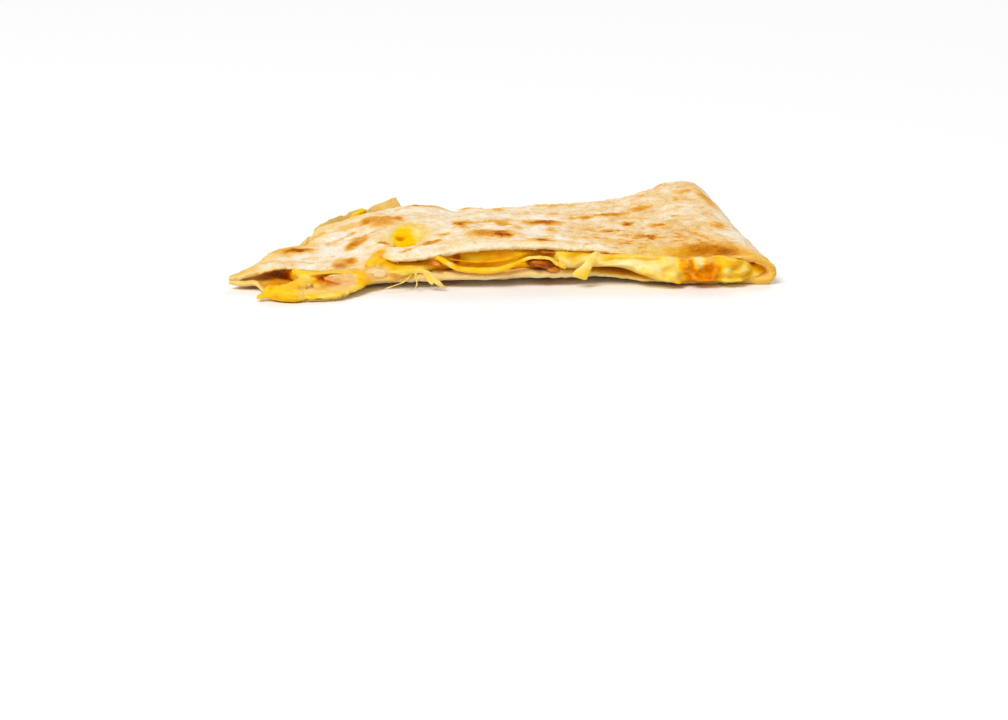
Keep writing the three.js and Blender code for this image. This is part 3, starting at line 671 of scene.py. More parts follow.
cut_toast = sum(dark * beside(skin_x - at, long) for at, long, dark in TOASTED_CUT)
toast = np.where(is_outer, toast, np.where(is_cut & on_top & in_front, cut_toast * (1 - side), 0))
fold_end = step(x, *FOLD_X_FRONT) * in_front
toast = np.maximum(toast, EDGE_TOAST * fold_end * is_cut)
# The creases on the outer face are darkened, partly as browned dough and partly as painted shade in
# their valleys.
toast = np.maximum(toast, np.where(is_outer, crease * 0.8, hollow_shade))
toast = np.maximum(toast, EDGE_TOAST * is_outer * on_top * corner)

soaked = clouds(surface, 5, 61.0, 3)
grease_rim = fade(from_rim + 2.0 * soaked, 1.5, RIM_GREASE + RIM_GREASE_BACK * step(y, 0, 10))
begins, ends = EDGE_GREASE
grease_right = step(skin_x + 4 * soaked, *begins) * fade(y + 1.5 * soaked, *ends)
begins, ends = FOLD_GREASE
grease_fold = step(skin_x, *begins) * fade(y + soaked, *ends)
patch_x, patch_y, long, wide = OLIVE_PATCH
olive = beside(((x - patch_x) / long) ** 2 + ((y - patch_y) / wide) ** 2, 1)
grease_rim = np.maximum(grease_rim, np.maximum(0.42 * olive, corner))
grease_rim = grease_rim * (1 - 0.9 * spot(x, y, *DRY_FLAP))
at_split, hole_right, hole_left = TEAR_STAIN
stained = np.where(y < SPLIT_END, at_split, np.where(x > HOLE_X, hole_right, hole_left))
grease_tear = 0.95 * beside(from_tear, stained)
grease = np.maximum(np.maximum(grease_rim * 0.8, grease_right), np.maximum(grease_fold, grease_tear))
grease = np.where(is_inner, 0.75 + 0.25 * step(hollow_shade, 0, 0.15), grease)
lower_cut = np.where(is_cut & ~on_top, 0.4 + 0.6 * (1 - side), 0)
to_right, to_left = CUT_GREASE
cut_ends = (step(skin_x, *to_right) + fade(skin_x, *to_left)) * in_front
cut_ends = (0.85 + 0.3 * fold_end) * cut_ends
grease = np.where(is_cut, np.maximum(np.maximum(lower_cut, cut_ends), grease), grease)
flecks = 0.35 + 0.65 * spot(x, y, *FLECKED) - 0.3 * fade(x, -44, -30)
rubbed_y, rubbed_width = FLOUR_RUBBED
floury = (1 - 1.2 * beside(y - rubbed_y, rubbed_width)) * fade(skin_x, *FLOURY)
tan = 0.38 + 0.36 * step(skin_x, *DARKER) - floury
tan = tan - 0.5 * step(skin_x, *LIGHTER) - 0.9 * spot(skin_x, y, *FLOURY_FLAP)
crumb_shown = np.where(is_cut, 1 - fold_end, 0.55 * beside(from_cut, 0.7) * is_outer)
for name, painted in (
    ("toast", toast), ("grease", grease), ("flecks", flecks * is_outer),
    ("tan", np.where(on_top, tan, 0.7)), ("cut", crumb_shown),
):
    paint(tortilla, name, painted)


def fine_relief():
    """Small soft bumps of dough, cheese or meat, as a group: cloud size and depth in metres."""
    group = bpy.data.node_groups.new("fine_relief", "ShaderNodeTree")
    for name in ("Size", "Depth"):
        group.interface.new_socket(name, in_out="INPUT", socket_type="NodeSocketFloat")
    group.interface.new_socket("Normal", in_out="OUTPUT", socket_type="NodeSocketVector")
    given = group.nodes.new("NodeGroupInput")
    result = group.nodes.new("NodeGroupOutput")
    place = group.nodes.new("ShaderNodeTexCoord")
    density = group.nodes.new("ShaderNodeMath")
    density.operation = "DIVIDE"
    density.inputs[0].default_value = 1
    bumps = group.nodes.new("ShaderNodeTexNoise")
    bumps.inputs["Detail"].default_value = 3
    bumps.inputs["Roughness"].default_value = 0.6
    height = group.nodes.new("ShaderNodeBump")
    height.inputs["Strength"].default_value = 1
    group.links.new(given.outputs["Size"], density.inputs[1])
    group.links.new(density.outputs[0], bumps.inputs["Scale"])
    group.links.new(place.outputs["Object"], bumps.inputs["Vector"])
    group.links.new(bumps.outputs[0], height.inputs["Height"])
    group.links.new(given.outputs["Depth"], height.inputs["Distance"])
    group.links.new(height.outputs[0], result.inputs["Normal"])
    return group


RELIEF = fine_relief()


def srgb(r, g, b):
    """A colour as the eye names it, from 0 to 255, for a shader."""
    return (*(((c / 255 + 0.055) / 1.055) ** 2.4 for c in (r, g, b)), 1)


class Finish:
    """A material, put together from patterns that follow the piece it covers."""

    def __init__(self, name):
        self.material = bpy.data.materials.new(name)
        self.material.use_nodes = True
        self.tree = self.material.node_tree
        self.shader = self.tree.nodes["Principled BSDF"]
        self.shader.inputs["Subsurface Scale"].default_value = 1.0

    def feed(self, socket, value):
        """Links another node's output to a socket, or sets a plain value on it."""
        if isinstance(value, bpy.types.NodeSocket):
            self.tree.links.new(value, socket)
        else:
            socket.default_value = value

    def node(self, kind, settings, feeds, out=0):
        """A node with its settings and what feeds its inputs; gives one of its outputs."""
        made = self.tree.nodes.new("ShaderNode" + kind)
        for name, value in settings.items():
            setattr(made, name, value)
        for name, value in feeds.items():
            self.feed(made.inputs[name], value)
        return made.outputs[out]

    def painted(self, name):
        """One of the values that are painted on the piece."""
        return self.node("Attribute", {"attribute_name": name}, {}, 2)

    def cloudy(self, size, detail=3.0, rough=0.55, seed=0.0, squeeze=(1, 1, 1)):
        """Noise from 0 to 1, with clouds of that size in millimetres."""
        place = self.node("TexCoord", {}, {}, 3)
        placed = self.node("Mapping", {}, {
            "Vector": place, "Location": (seed, seed, seed), "Scale": squeeze,
        })
        return self.node("TexNoise", {}, {
            "Vector": placed, "Scale": 1 / (size * MM), "Detail": detail, "Roughness": rough,
        })

    def ramp(self, value, *stops):
        """A colour that follows a value through stops of value, red, green and blue."""
        made = self.tree.nodes.new("ShaderNodeValToRGB")
        bar = made.color_ramp.elements
        while len(bar) < len(stops):
            bar.new(1)
        for element, (place, *rgb) in zip(bar, stops):
            element.position = place
            element.color = srgb(*rgb)
        self.feed(made.inputs[0], value)
        return made.outputs[0]

    def between(self, value, low, high, to_low=0.0, to_high=1.0):
        """Goes smoothly from to_low to to_high while the value goes from low to high."""
        return self.node("MapRange", {"interpolation_type": "SMOOTHSTEP"}, {
            0: value, 1: low, 2: high, 3: to_low, 4: to_high,
        })

    def mix(self, share, a, b):
        return self.node("Mix", {"data_type": "RGBA"}, {0: share, 6: a, 7: b}, 2)

    def math(self, how, a, b):
        return self.node("Math", {"operation": how}, {0: a, 1: b})

    def relief(self, size, depth):
        """The fine relief of the surface, with both lengths in millimetres."""
        return self.node("Group", {"node_tree": RELIEF}, {"Size": size * MM, "Depth": depth * MM})

    def finish(self, feeds):
        """Feeds the shader's own sockets, and gives the material."""
        for name, value in feeds.items():
            self.feed(self.shader.inputs[name], value)
        return self.material


dough = Finish("baked_dough")
speckle = dough.cloudy(0.7, 4, 0.7)
patches = dough.cloudy(2.6, 4, 0.65, seed=5.0)
mottle = dough.cloudy(8, 4, 0.6, seed=3.0)
streaks = dough.cloudy(1.7, 5, 0.7, seed=9.0, squeeze=(0.5, 1, 1))
pale = dough.math("ADD", dough.math("MULTIPLY", mottle, 0.45), dough.math("MULTIPLY", patches, 0.55))
pale = dough.math("ADD", pale, dough.between(dough.painted("tan"), 0.0, 1.0, -0.1, 0.08))
crust = dough.ramp(
    pale, (0.37, 249, 240, 224), (0.45, 247, 226, 192), (0.53, 241, 207, 154), (0.63, 224, 174, 100),
)
crust = dough.mix(dough.between(speckle, 0.5, 0.75, 0.0, 0.5), crust, srgb(248, 240, 226))
crust = dough.mix(dough.between(speckle, 0.44, 0.3, 0.0, 0.7), crust, srgb(222, 174, 104))
flecked = dough.math("MULTIPLY", dough.painted("flecks"), dough.between(streaks, 0.5, 0.64))
# The painted toast value holds the browned spots and also the painted shade of the hollows and
# creases.
brown = dough.math("MULTIPLY", dough.painted("toast"), dough.between(patches, 0.3, 0.7, 0.8, 1.15))
brown = dough.math("MULTIPLY", brown, dough.between(speckle, 0.3, 0.7, 0.82, 1.15))
brown = dough.math("ADD", brown, dough.math("MULTIPLY", flecked, 0.38))
toasted = dough.ramp(
    brown, (0.0, 246, 220, 170), (0.2, 241, 194, 116), (0.4, 228, 160, 66), (0.6, 210, 130, 34),
    (0.8, 182, 98, 18), (1.0, 142, 68, 12),
)
colour = dough.mix(dough.between(brown, 0.0, 0.22), crust, toasted)
crumb = dough.ramp(speckle, (0.3, 252, 216, 150), (0.55, 255, 240, 204))
colour = dough.mix(dough.math("MULTIPLY", dough.painted("cut"), 0.8), colour, crumb)
greasy = dough.ramp(
    brown, (0.0, 246, 204, 92), (0.35, 230, 160, 14), (0.7, 208, 130, 2), (1.0, 180, 100, 1),
)
colour = dough.mix(dough.math("MULTIPLY", dough.painted("grease"), 0.85), colour, greasy)
BAKED_DOUGH = dough.finish({
    "Base Color": colour,
    "Roughness": dough.between(dough.painted("grease"), 0.0, 1.0, 0.85, 0.5),
    "Normal": dough.relief(0.55, 0.26),
    "Specular IOR Level": 0.02,
    "Subsurface Weight": 0.2,
    "Subsurface Radius": (0.002, 0.0011, 0.0005),
})
tortilla.data.materials.append(BAKED_DOUGH)
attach(tortilla, "root")
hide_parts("tortilla")

# Loose shreds ------------------------------------------------------------------------------
# Thin shreds of dough that the knife has pulled out of the front cut. They are slivers of the
# leaf, a millimetre or two long, and hang from the edge where they tore.
SHREDS = 34
SHRED_ENDS = (-62, 40)  # x of the stretch of the front cut where they hang
SHRED_RADIUS = (0.1, 0.18)
SHRED_LENGTH = (0.9, 2.2)
SHRED_DEPTHS = (0.15, 0.3, 0.85, 0.95)  # shares of the leaf's thickness, under its skin
SHRED_STANDS_OUT = 0.15
chance = random.Random(12)
for k in range(SHREDS):
    x = chance.uniform(*SHRED_ENDS)
    depth = chance.choice(SHRED_DEPTHS)
    thick = LEAF * through(CUT_EDGE, x)
    z = top_face(x, -HALF) - through(EDGE_DROOP, x) - thick * depth
    bpy.ops.mesh.primitive_cone_add(
        vertices=5, radius1=chance.uniform(*SHRED_RADIUS), depth=chance.uniform(*SHRED_LENGTH),
        rotation=(chance.uniform(1.2, 2.6), chance.uniform(-1.3, 1.3), chance.uniform(-0.5, 0.5)),
        location=(x, -HALF - SHRED_STANDS_OUT, z),
    )
    bpy.context.object.name = f"shred_{k}"
bpy.ops.object.select_all(action="DESELECT")
for piece in bpy.context.scene.objects:
    if piece.name.startswith("shred_"):
        piece.select_set(True)
        bpy.context.view_layer.objects.active = piece
bpy.ops.object.join()
shreds = bpy.context.object
shreds.name = "dough_shreds"
bpy.ops.object.transform_apply(location=True, rotation=True, scale=True)
move_corners(shreds, (corners_of(shreds) + SLICE_AT) * MM)
paint(shreds, "cut", np.full(len(shreds.data.vertices), 0.6))
paint(shreds, "grease", np.full(len(shreds.data.vertices), 0.35))
shreds.data.materials.append(BAKED_DOUGH)
smooth(shreds, 60)
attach(shreds, "root")

# Cheese ------------------------------------------------------------------------------------
# Grated cheese that has melted into one mass and runs through the slice from cut to cut. It
# has swollen out of both cuts in lobes, hangs in strands and drips, and wells up in the tear.
FRONT_HOLLOW = (  # x, how far the filling stands back from the front cut
    (-60, 5), (-56.4, 3.4), (-54.4, 0.4), (-41, 0), (-36, 0.4), (-31, 1.6), (-24, 3.2), (-19, 2.6),
    (-16, 2.6), (-13, 2.6), (-10, 2), (-4, 1.7), (5, 1.9), (10, 2.2), (14, 1), (19, 1.6),
    (26, 1.6), (31, 1), (38, 0), (60, 0), (63, 1.6), (68, 2.8),
)
FRONT_FOOT = (  # x, height of its foot there
    (-54, 1.2), (-40, 1.4), (-34, 1.6), (-27, 2), (-22, 3.4), (-10, 4.1), (12, 4.1), (19, 4.1),
    (23, 4.5), (29, 4.5), (33, 3.4), (36, 2), (40, 0.8), (52, 0.4), (58, 0.5), (64, 1.2),
)
FRONT_LOBES = (  # x, z, width, height, how far it stands out, tone from cream to browned; in the lobes marked below the dark tone is painted shade
    (-53.4, 3.8, 2.4, 1.5, 1.6, 0.42), (-51.6, 2.6, 1.8, 1, 2.6, 0.06),
    (-47.8, 5.4, 4.2, 0.9, 3.6, 0.5), (-50.6, 4.4, 2.2, 0.8, 2.4, 0.2),
    (-49.2, 2.4, 2.4, 0.8, 3.4, 0.14), (-43.6, 6.2, 3, 0.8, 4.6, 0.44),
    (-46.6, 2.6, 3.2, 1.1, 4.2, 1), (-45, 0.8, 4, 0.7, 4.6, 0.3),
    (-41.2, 3.4, 3, 1.6, 4.7, 0.12), (-36.8, 3.2, 2.4, 1.4, 4.4, 0.66),
    # the lobe at x -39.4 is toned dark as painted shade just under the leaf's edge
    (-39.4, 6.1, 3, 0.8, 3, 0.9), (-34, 7.3, 3.2, 1, 3.4, 0.4),
    (-33.4, 2.4, 3.4, 1, 3.4, 0.34), (-33.6, 4.9, 2.6, 1.7, 2.6, 0.4),
    (-30, 4.8, 2, 2.2, 3.2, 0.52), (-28.6, 2.4, 2.8, 0.9, 3, 0.66),
    (-25.6, 4.6, 3.2, 1.8, 4.6, 0.42), (-26.4, 4.4, 1.6, 0.7, 1.2, 0),
    # these two lobes, set back under the split leaf, are toned dark as painted shade
    (-28.8, 7.2, 2.6, 1, -1.6, 1), (-23.4, 7.4, 3.4, 1, -1.4, 0.96),
    (-21.6, 4.8, 2, 1.2, 3, 0.36), (-18, 7.9, 2.4, 1, 1.4, 0.6),
    # the lobe at x -12.6, set back under the leaf, is toned dark as painted shade
    (-12.6, 7.2, 1, 1.5, -1.4, 1), (-8.6, 7.6, 3.6, 1.4, 0.6, 0.55),
    (-2.4, 7.6, 3.8, 1.2, 0.4, 0.62), (3.6, 8.4, 2.6, 1, 1, 0.58),
    (6, 6.6, 2, 0.9, -0.6, 0.85), (14.6, 7.6, 2.2, 1.7, 3, 0.2),
    (17.6, 6.2, 2.6, 1.5, 3, 0.24), (16, 9, 3.6, 0.7, 1.6, 0.5),
    (22.6, 7.4, 2.8, 1.5, 2.6, 0.2), (26.4, 6.2, 3.6, 1.2, 3.4, 0.16),
    (25, 7.8, 2, 0.6, 1.6, 0.5), (28.8, 8.3, 3.4, 0.8, 2.6, 0.34),
    (32, 6.4, 3.2, 1.3, 3.6, 0.06), (34.6, 4.6, 2.4, 1.2, 4.2, 0.28),
    (37.6, 5.6, 2.6, 1.6, 3.6, 0.12), (35.6, 8.5, 5, 0.8, 2.4, 0.34),
    (38.8, 3.6, 2.4, 1.3, 4, 0.34), (41.4, 6.6, 2.6, 1.6, 3.2, 0.2),
    (41.6, 2.4, 3.2, 1.2, 4.2, 0.24), (44.2, 1.4, 1.5, 0.8, 4.2, 0.9),
    (43, 4.2, 2, 1.4, 3.6, 0.28), (45.8, 6.2, 1.8, 1.8, 4.2, 0.86),
    (47.9, 3.4, 2, 1.7, 4.2, 0.84), (49.6, 6.8, 1.2, 1.6, 3.2, 0.06),
    (50.2, 2.2, 2, 1, 3.8, 0.9), (51.4, 7, 1.4, 1, 3.8, 0.84),
    (53.4, 5, 1.7, 1.7, 4.4, 0.86), (52.8, 2.6, 1.6, 1.2, 3.4, 0.95),
    (57.4, 6.8, 3.8, 1.1, 3.8, 0.6), (56.2, 4.6, 1.7, 1.5, 4.2, 0.2),
    (59.6, 4.2, 2.4, 1.2, 3.8, 0.32), (56.6, 2, 2.6, 1.1, 4.2, 0.4),
    (60.8, 1.9, 2.6, 0.9, 3.6, 0.5), (62.4, 5, 1.4, 1.3, 2.6, 0.3),
    # the lobe at x 64.2, set back in the hollow of the fold, is toned dark as painted shade
    (64.2, 6, 0.9, 1.2, -2.2, 0.95), (65.2, 2.2, 1.8, 1, 2.4, 0.36),
    (64.6, 4.2, 1.2, 0.9, 1, 0.6),
)
BACK_LOBES = (  # the same at the back cut
    (-14, 4.5, 6, 2.6, 2.4, 0.3), (-6, 3.6, 3, 1.4, 1.4, 0.7), (2, 4.2, 5, 2.4, 3, 0.2),
    (9, 5.6, 3, 1.2, 1.6, 0.6), (16, 5, 6, 2.6, 2, 0.4), (25, 3.4, 3, 1.4, 2, 0.85),
    (33, 5, 7, 3, 3.2, 0.15), (40, 3.2, 3, 1.6, 2.6, 0.6), (46, 7, 5, 4, 2.4, 0.3),
    (50, 10, 3, 1.6, 1.4, 0.7),
)
OUT = (0, -1, 0)  # which way the flat side of a strand looks
UP = (0, 0, 1)
STRANDS = (  # the way its flat side looks; x, y, z, half width, half thickness of each point
    (OUT, (-22, -26, 8.8, 1, 1.2), (-18.3, -29.6, 8.2, 0.9, 1), (-15.5, -31, 6.9, 0.8, 0.8),
     (-11.9, -31.5, 5.4, 0.8, 0.8), (-5.5, -31.6, 4.9, 0.85, 1), (-1.1, -31.5, 5.4, 0.8, 0.8),
     (3, -31.1, 6.9, 0.6, 0.7), (6.1, -30.9, 8, 0.5, 0.8), (10.6, -31.3, 7.9, 0.5, 1),
     (12.8, -31.5, 6.4, 0.6, 0.6), (15.2, -31, 5, 0.7, 0.5)),
    (OUT, (-19, -26.6, 8.6, 0.9, 0.8), (-14, -29, 7.4, 0.35, 0.5), (-8, -29.2, 6.6, 0.3, 0.45),
     (-1, -29, 6.9, 0.3, 0.4), (4, -27.6, 8.2, 0.7, 0.6)),
    (OUT, (-31.8, -30.6, 4.3, 0.5, 0.5), (-29.6, -32.6, 5, 0.45, 0.5), (-26.6, -34.2, 5.5, 0.5, 0.5),
     (-23.8, -34, 5.6, 0.55, 0.5), (-21.6, -33.6, 5.3, 0.7, 0.5), (-20.2, -33.5, 4.5, 0.8, 0.5),
     (-18.9, -33.6, 3.3, 0.75, 0.5), (-17.6, -33.7, 2.1, 0.8, 0.45), (-15.8, -33.7, 0.9, 0.4, 0.35)),
    (OUT, (-21.2, -33.2, 5, 0.6, 0.5), (-20.6, -33.5, 3.8, 0.7, 0.5), (-19.8, -33.7, 2.8, 0.7, 0.45),
     (-19.3, -33.8, 1.7, 0.35, 0.3)),
    (OUT, (25, -28.5, 8.6, 1, 0.8), (22.6, -31, 8.2, 1.3, 0.7), (20.9, -31.9, 6.4, 1.3, 0.6),
     (19.7, -32.3, 4.8, 1.7, 0.55), (18.8, -32.5, 3.6, 2.2, 0.5), (18.4, -32.4, 2.6, 2.3, 0.4)),
    (UP, (-49, -30, 3.6, 2.4, 1.2), (-51.4, -34, 3.1, 2.6, 1.1), (-54.4, -37.6, 2.6, 2.6, 1.3),
     (-58, -40, 2.2, 2, 1.4)),
    (UP, (-51.5, -43.2, 1.2, 0.9, 0.9), (-54.5, -43.2, 1.8, 1.7, 1.7), (-57.6, -42.2, 2.1, 2.2, 2),
     (-60, -41, 2.2, 2.1, 1.9), (-61.4, -39.8, 2, 1.4, 1.4)),
    (UP, (-57, -39.5, 1.9, 1.4, 0.8), (-60.8, -40.6, 1.6, 1.7, 0.7), (-62.9, -41.4, 1.2, 1.3, 0.6),
     (-63.9, -41.8, 0.9, 0.7, 0.4)),
    (UP, (-36.4, -31.4, 2.5, 1.8, 0.8), (-40, -35.4, 2, 3.2, 0.8), (-45.5, -38.2, 1.5, 5.2, 0.85),
     (-51, -39.8, 1.4, 4.6, 0.8), (-56, -41.4, 1.5, 2, 0.7)),
    (OUT, (-24.4, -34, 5.4, 0.34, 0.34), (-25.4, -33.8, 3.8, 0.3, 0.3),
     (-27, -34.4, 2.7, 0.27, 0.27), (-29.4, -34.8, 1.9, 0.26, 0.26), (-32, -35, 1.1, 0.26, 0.26)),
    (OUT, (-23.7, -34, 5.4, 0.34, 0.34), (-23.6, -33.9, 3.8, 0.3, 0.3),
     (-23.3, -34.4, 2.4, 0.27, 0.27), (-23.9, -34.8, 1, 0.26, 0.26)),
)
IN_SPLIT = (  # x, y, how deep under the leaf's upper face, half width, half thickness
    (-31, -24, 1.5, 1.7, 1.4), (-32.1, -25.2, 1.5, 1.7, 1.4), (-33.1, -26.8, 1.5, 1.7, 1.4),
    (-34.3, -29, 1.5, 1.7, 1.4), (-35.4, -31.2, 1.5, 1.7, 1.4),
)
IN_HOLE = (  # the same
    (-23.8, 3.5, 2.4, 3, 1.5), (-23.8, -1, 1.8, 4.4, 1.5), (-24.2, -7, 1.5, 5.8, 1.5),
    (-25.2, -13, 1.5, 5.8, 1.5), (-26.8, -20, 2, 4.6, 1.5),
)
ON_RIM = (  # a bit of cheese on the curled rim: x, y, z, half width, half thickness
    (-40.2, 21.6, 6, 1.2, 0.7), (-37.6, 23.4, 7.4, 1.9, 1), (-34.6, 25, 8.5, 1.5, 0.8),
)
PIT = (-26.5, -13)  # x, y of a small pit in the cheese of the hole
FILLING_FROM_RIM = 12
FILLING_FROM_FOLD = 0.7
FILLING_TAPER = 4  # it thins out over this length at the rim
FRONT_ROUND = 1.0  # how far the top and foot of its front are rounded back
FRONT_SLAB = (-HALF, -20)  # y of the front and back of the three slabs of filling
CORE = (-22, 24)
BACK_SLAB = (20, HALF)
OVERLAP = 1  # how far the outer slabs reach on into the core
BITE = 0.1  # how far the filling reaches into both leaves
THINNEST = 0.3  # how thin it gets at the rim
OVER_EDGE = (26, 36, 58, 62)  # x where the cheese climbs over the lower edge of the top leaf,
LEFT_EDGE = (-58, -54, -39, -36)  # and the same at the left end
CLIMB = (0.3, 0.6)  # how far it climbs at these two, and how far it stands out there
CLIMB_OUT = 0.9
REACHES_UP = 0.15  # how far it reaches over that edge all along
LEAST_HEIGHT = 0.8  # of the front of the filling
LOBE_FOOT = 0.34  # the lobes are drawn in below this share of its height
BACK_HOLLOW = 1.5  # how far the filling stands back from the back cut, and its slow waves
BACK_WAVES = 3.7
DROOP_COVERS = 0.85  # how far the drooping edge hangs over it, right of the split
SOFTENED = 4  # passes that soften the melted skin


def leaf_above(x, y):
    """Under side of the top leaf and of the fold."""
    start, outer, outer_z, end = fold_at(y)
    turn = np.clip((x - start) / (outer - start), 0, 1)
    rounded = outer_z + (top_face(start, y) - LEAF / 2 - outer_z) * np.sqrt(1 - turn * turn)
    return np.where(x <= start, top_face(x, y) - LEAF / 2, rounded) - LEAF / 2


def leaf_below(x, y):
    """Upper side of the bottom leaf and of the fold."""
    start, outer, outer_z, end = fold_at(y)
    turn = np.clip((x - end) / (outer - end), 0, 1)
    rounded = outer_z + (bottom_face(end, y) + LEAF / 2 - outer_z) * np.sqrt(1 - turn * turn)
    return np.where(x <= end, bottom_face(x, y) + LEAF / 2, rounded) + LEAF / 2


def swell(lobes, x, z):
    """How far the lobes make the cheese stand out of a cut."""
    return sum(far * spot(x, z, *lobe) for *lobe, far, tone in lobes)


def filling_slab(name, ends, cells, rows):
    """A slab of filling: its mesh, x and y, the leaves' faces below and above, its shares w
    upward and v backward, and how full it is near the rim."""
    bpy.ops.mesh.primitive_grid_add(x_subdivisions=cells[0], y_subdivisions=cells[1], size=1)
    slab = bpy.context.object
    slab.name = name
    bpy.ops.object.mode_set(mode="EDIT")
    bpy.ops.mesh.select_all(action="SELECT")
    thicken(rows)
    u, w, v = (corners_of(slab) + (0.5, 0.5, 0)).T
    y = ends[0] + (ends[1] - ends[0]) * v
    first = rim_arc(y) + FILLING_FROM_RIM
    last = fold_at(y)[1] - FILLING_FROM_FOLD
    x = first + (last - first) * u
    full = np.sqrt(np.clip((x - first) / FILLING_TAPER, 0, 1))
    low = leaf_below(x, y) - BITE
    high = np.maximum(low + (leaf_above(x, y) + BITE - low) * full, low + THINNEST)
    return slab, x, y, low, high, w, v, full


def pulled(name, points, faces=UP):
    """A ball of cheese pulled out along a smooth line, its flat side looking one way."""
    bpy.ops.mesh.primitive_uv_sphere_add(segments=20, ring_count=64, radius=1)
    ball = bpy.context.object
    ball.name = name
    sphere = corners_of(ball)
    u = np.arccos(np.clip(sphere[:, 2], -1, 1)) / math.pi
    at = np.linspace(0, 1, len(points))
    columns = [tuple(zip(at, column)) for column in zip(*points)]
    line = np.column_stack([through(c, u) for c in columns[:3]])
    ahead = np.column_stack([through(c, u + 0.01) - through(c, u - 0.01) for c in columns[:3]])
    ahead /= np.linalg.norm(ahead, axis=1)[:, None]
    side = np.cross(np.array(faces, float), ahead)
    side /= np.maximum(np.linalg.norm(side, axis=1), 1e-6)[:, None]
    lift = np.cross(ahead, side)
    round_end = np.sqrt(np.minimum(1, 0.1 + 6 * np.minimum(u, 1 - u)))
    ring = np.maximum(np.hypot(sphere[:, 0], sphere[:, 1]), 1e-9)
    across_ring = sphere[:, 0] / ring * round_end * (ring > 1e-6)
    up_ring = sphere[:, 1] / ring * round_end * (ring > 1e-6)
    move_corners(ball, line + side * (through(columns[3], u) * across_ring)[:, None]
                 + lift * (through(columns[4], u) * up_ring)[:, None])
    return ball


def welled_up(name, points):
    """Cheese that has welled up in a tear of the top leaf."""
    return pulled(name, [(x, y, top_face(x, y) - deep, *half) for x, y, deep, *half in points])


def modify(piece, kind, **settings):
    """Puts a modifier on a piece and applies it."""
    modifier = piece.modifiers.new(kind.lower(), kind)
    for key, value in settings.items():
        setattr(modifier, key, value)
    bpy.context.view_layer.objects.active = piece
    bpy.ops.object.modifier_apply(modifier=modifier.name)


def melt_together(name, pieces, voxel, kept):
    """Joins pieces that overlap into one closed, soft skin, and keeps a share of its faces."""
    bpy.ops.object.select_all(action="DESELECT")
    for piece in pieces:
        piece.select_set(True)
    bpy.context.view_layer.objects.active = pieces[0]
    bpy.ops.object.join()
    joined = bpy.context.object
    joined.name = name
    modify(joined, "REMESH", mode="VOXEL", voxel_size=voxel)
    modify(joined, "SMOOTH", factor=0.5, iterations=SOFTENED)
    modify(joined, "DECIMATE", ratio=kept)
    return joined


def along_normals(piece, height):
    """Moves each corner along its normal by a height in millimetres."""
    normals = np.empty(len(piece.data.vertices) * 3)
    piece.data.vertices.foreach_get("normal", normals)
    move_corners(piece, corners_of(piece) + normals.reshape(-1, 3) * height[:, None])


def drawn_folds(points, seed):
    """The soft folds and fine threads of cheese that was drawn out sideways."""
    tilted = np.column_stack((
        points[:, 0] * 0.5 + 0.3 * points[:, 2], points[:, 1], points[:, 2] - 0.25 * points[:, 0],
    ))
    folds = 0.5 - 1.6 * np.abs(clouds(tilted, 2.6, seed, 2))
    threads = clouds(tilted * (0.5, 1, 1.4), 1.0, seed + 4, 2)
    return 0.5 * folds + 0.08 * threads


def pitted(skin, long, wide):
    """A spot round the small pit in the cheese that wells up in the hole."""
    return spot(skin[:, 0], skin[:, 1], *PIT, long, wide) * (skin[:, 2] > 5)


front_slab, x, y, low, high, w, v, full = filling_slab("front_slab", FRONT_SLAB, (330, 34), 8)
edge_above = top_face(x, y * 0 - HALF) - LEAF * through(CUT_EDGE, x)
edge_droop = through(EDGE_DROOP, x)
uncovered = np.maximum(edge_droop - DROOP_COVERS, 0)
edge_above = edge_above - np.where(x < SPLIT_X, edge_droop, uncovered)
over_edge = stretch(x, *OVER_EDGE)
left_edge = stretch(x, *LEFT_EDGE)
uneven = 0.3 * clouds(np.column_stack((x, x * 0, x * 0)), 4.2, 67.0, 2)
climbed = (CLIMB[0] + uneven) * over_edge
roof = (edge_above + REACHES_UP + climbed + CLIMB[1] * left_edge) * (1 - v) + high * v
foot = np.minimum(through(FRONT_FOOT, x), roof - LEAST_HEIGHT)
roof = foot + np.maximum((roof - foot) * full, THINNEST)
z = foot + (roof - foot) * w
drape = drawn_folds(np.column_stack((x, x * 0, z)), 71.0)
at_foot = 0.3 + 0.7 * np.sqrt(1 - (1 - np.clip(w / LOBE_FOOT, 0, 1)) ** 2)
face_y = through(FRONT_HOLLOW, x) - HALF - swell(FRONT_LOBES, x, z) * at_foot - 0.3 * drape
face_y = face_y - CLIMB_OUT * (over_edge + left_edge) * step(w, 0.4, 1)
hugged = np.maximum(over_edge, left_edge)
face_y = face_y + FRONT_ROUND * np.abs(2 * w - 1) ** 4 * np.where(w > 0.5, 1 - hugged, 1)
z = z * (1 - v) + (low + (high - low) * w) * v
inner_y = FRONT_SLAB[1] + OVERLAP
move_corners(front_slab, np.column_stack((x, face_y * (1 - v) + inner_y * v, z)))
strands = [pulled(f"strand_{k}", points, faces) for k, (faces, *points) in enumerate(STRANDS)]
strands.append(welled_up("tear_ridge", IN_SPLIT))
cheese_front = melt_together("melted_cheese_front", [front_slab, *strands], voxel=0.27, kept=0.72)
skin = corners_of(cheese_front)
shown = fade(skin[:, 1], -25, -20)
on_lip = stretch(skin[:, 0], -61, -52, -40, -37) * fade(skin[:, 1], -37, -34)
fibres = 0.4 * clouds(skin * (0.3, 1, 1.2), 0.9, 99.0, 2) * on_lip
drawn = 0.3 - 0.14 * step(skin[:, 0], 12, 30)
along_normals(cheese_front, (drawn * drawn_folds(skin, 81.0) - 0.05) * shown + fibres)

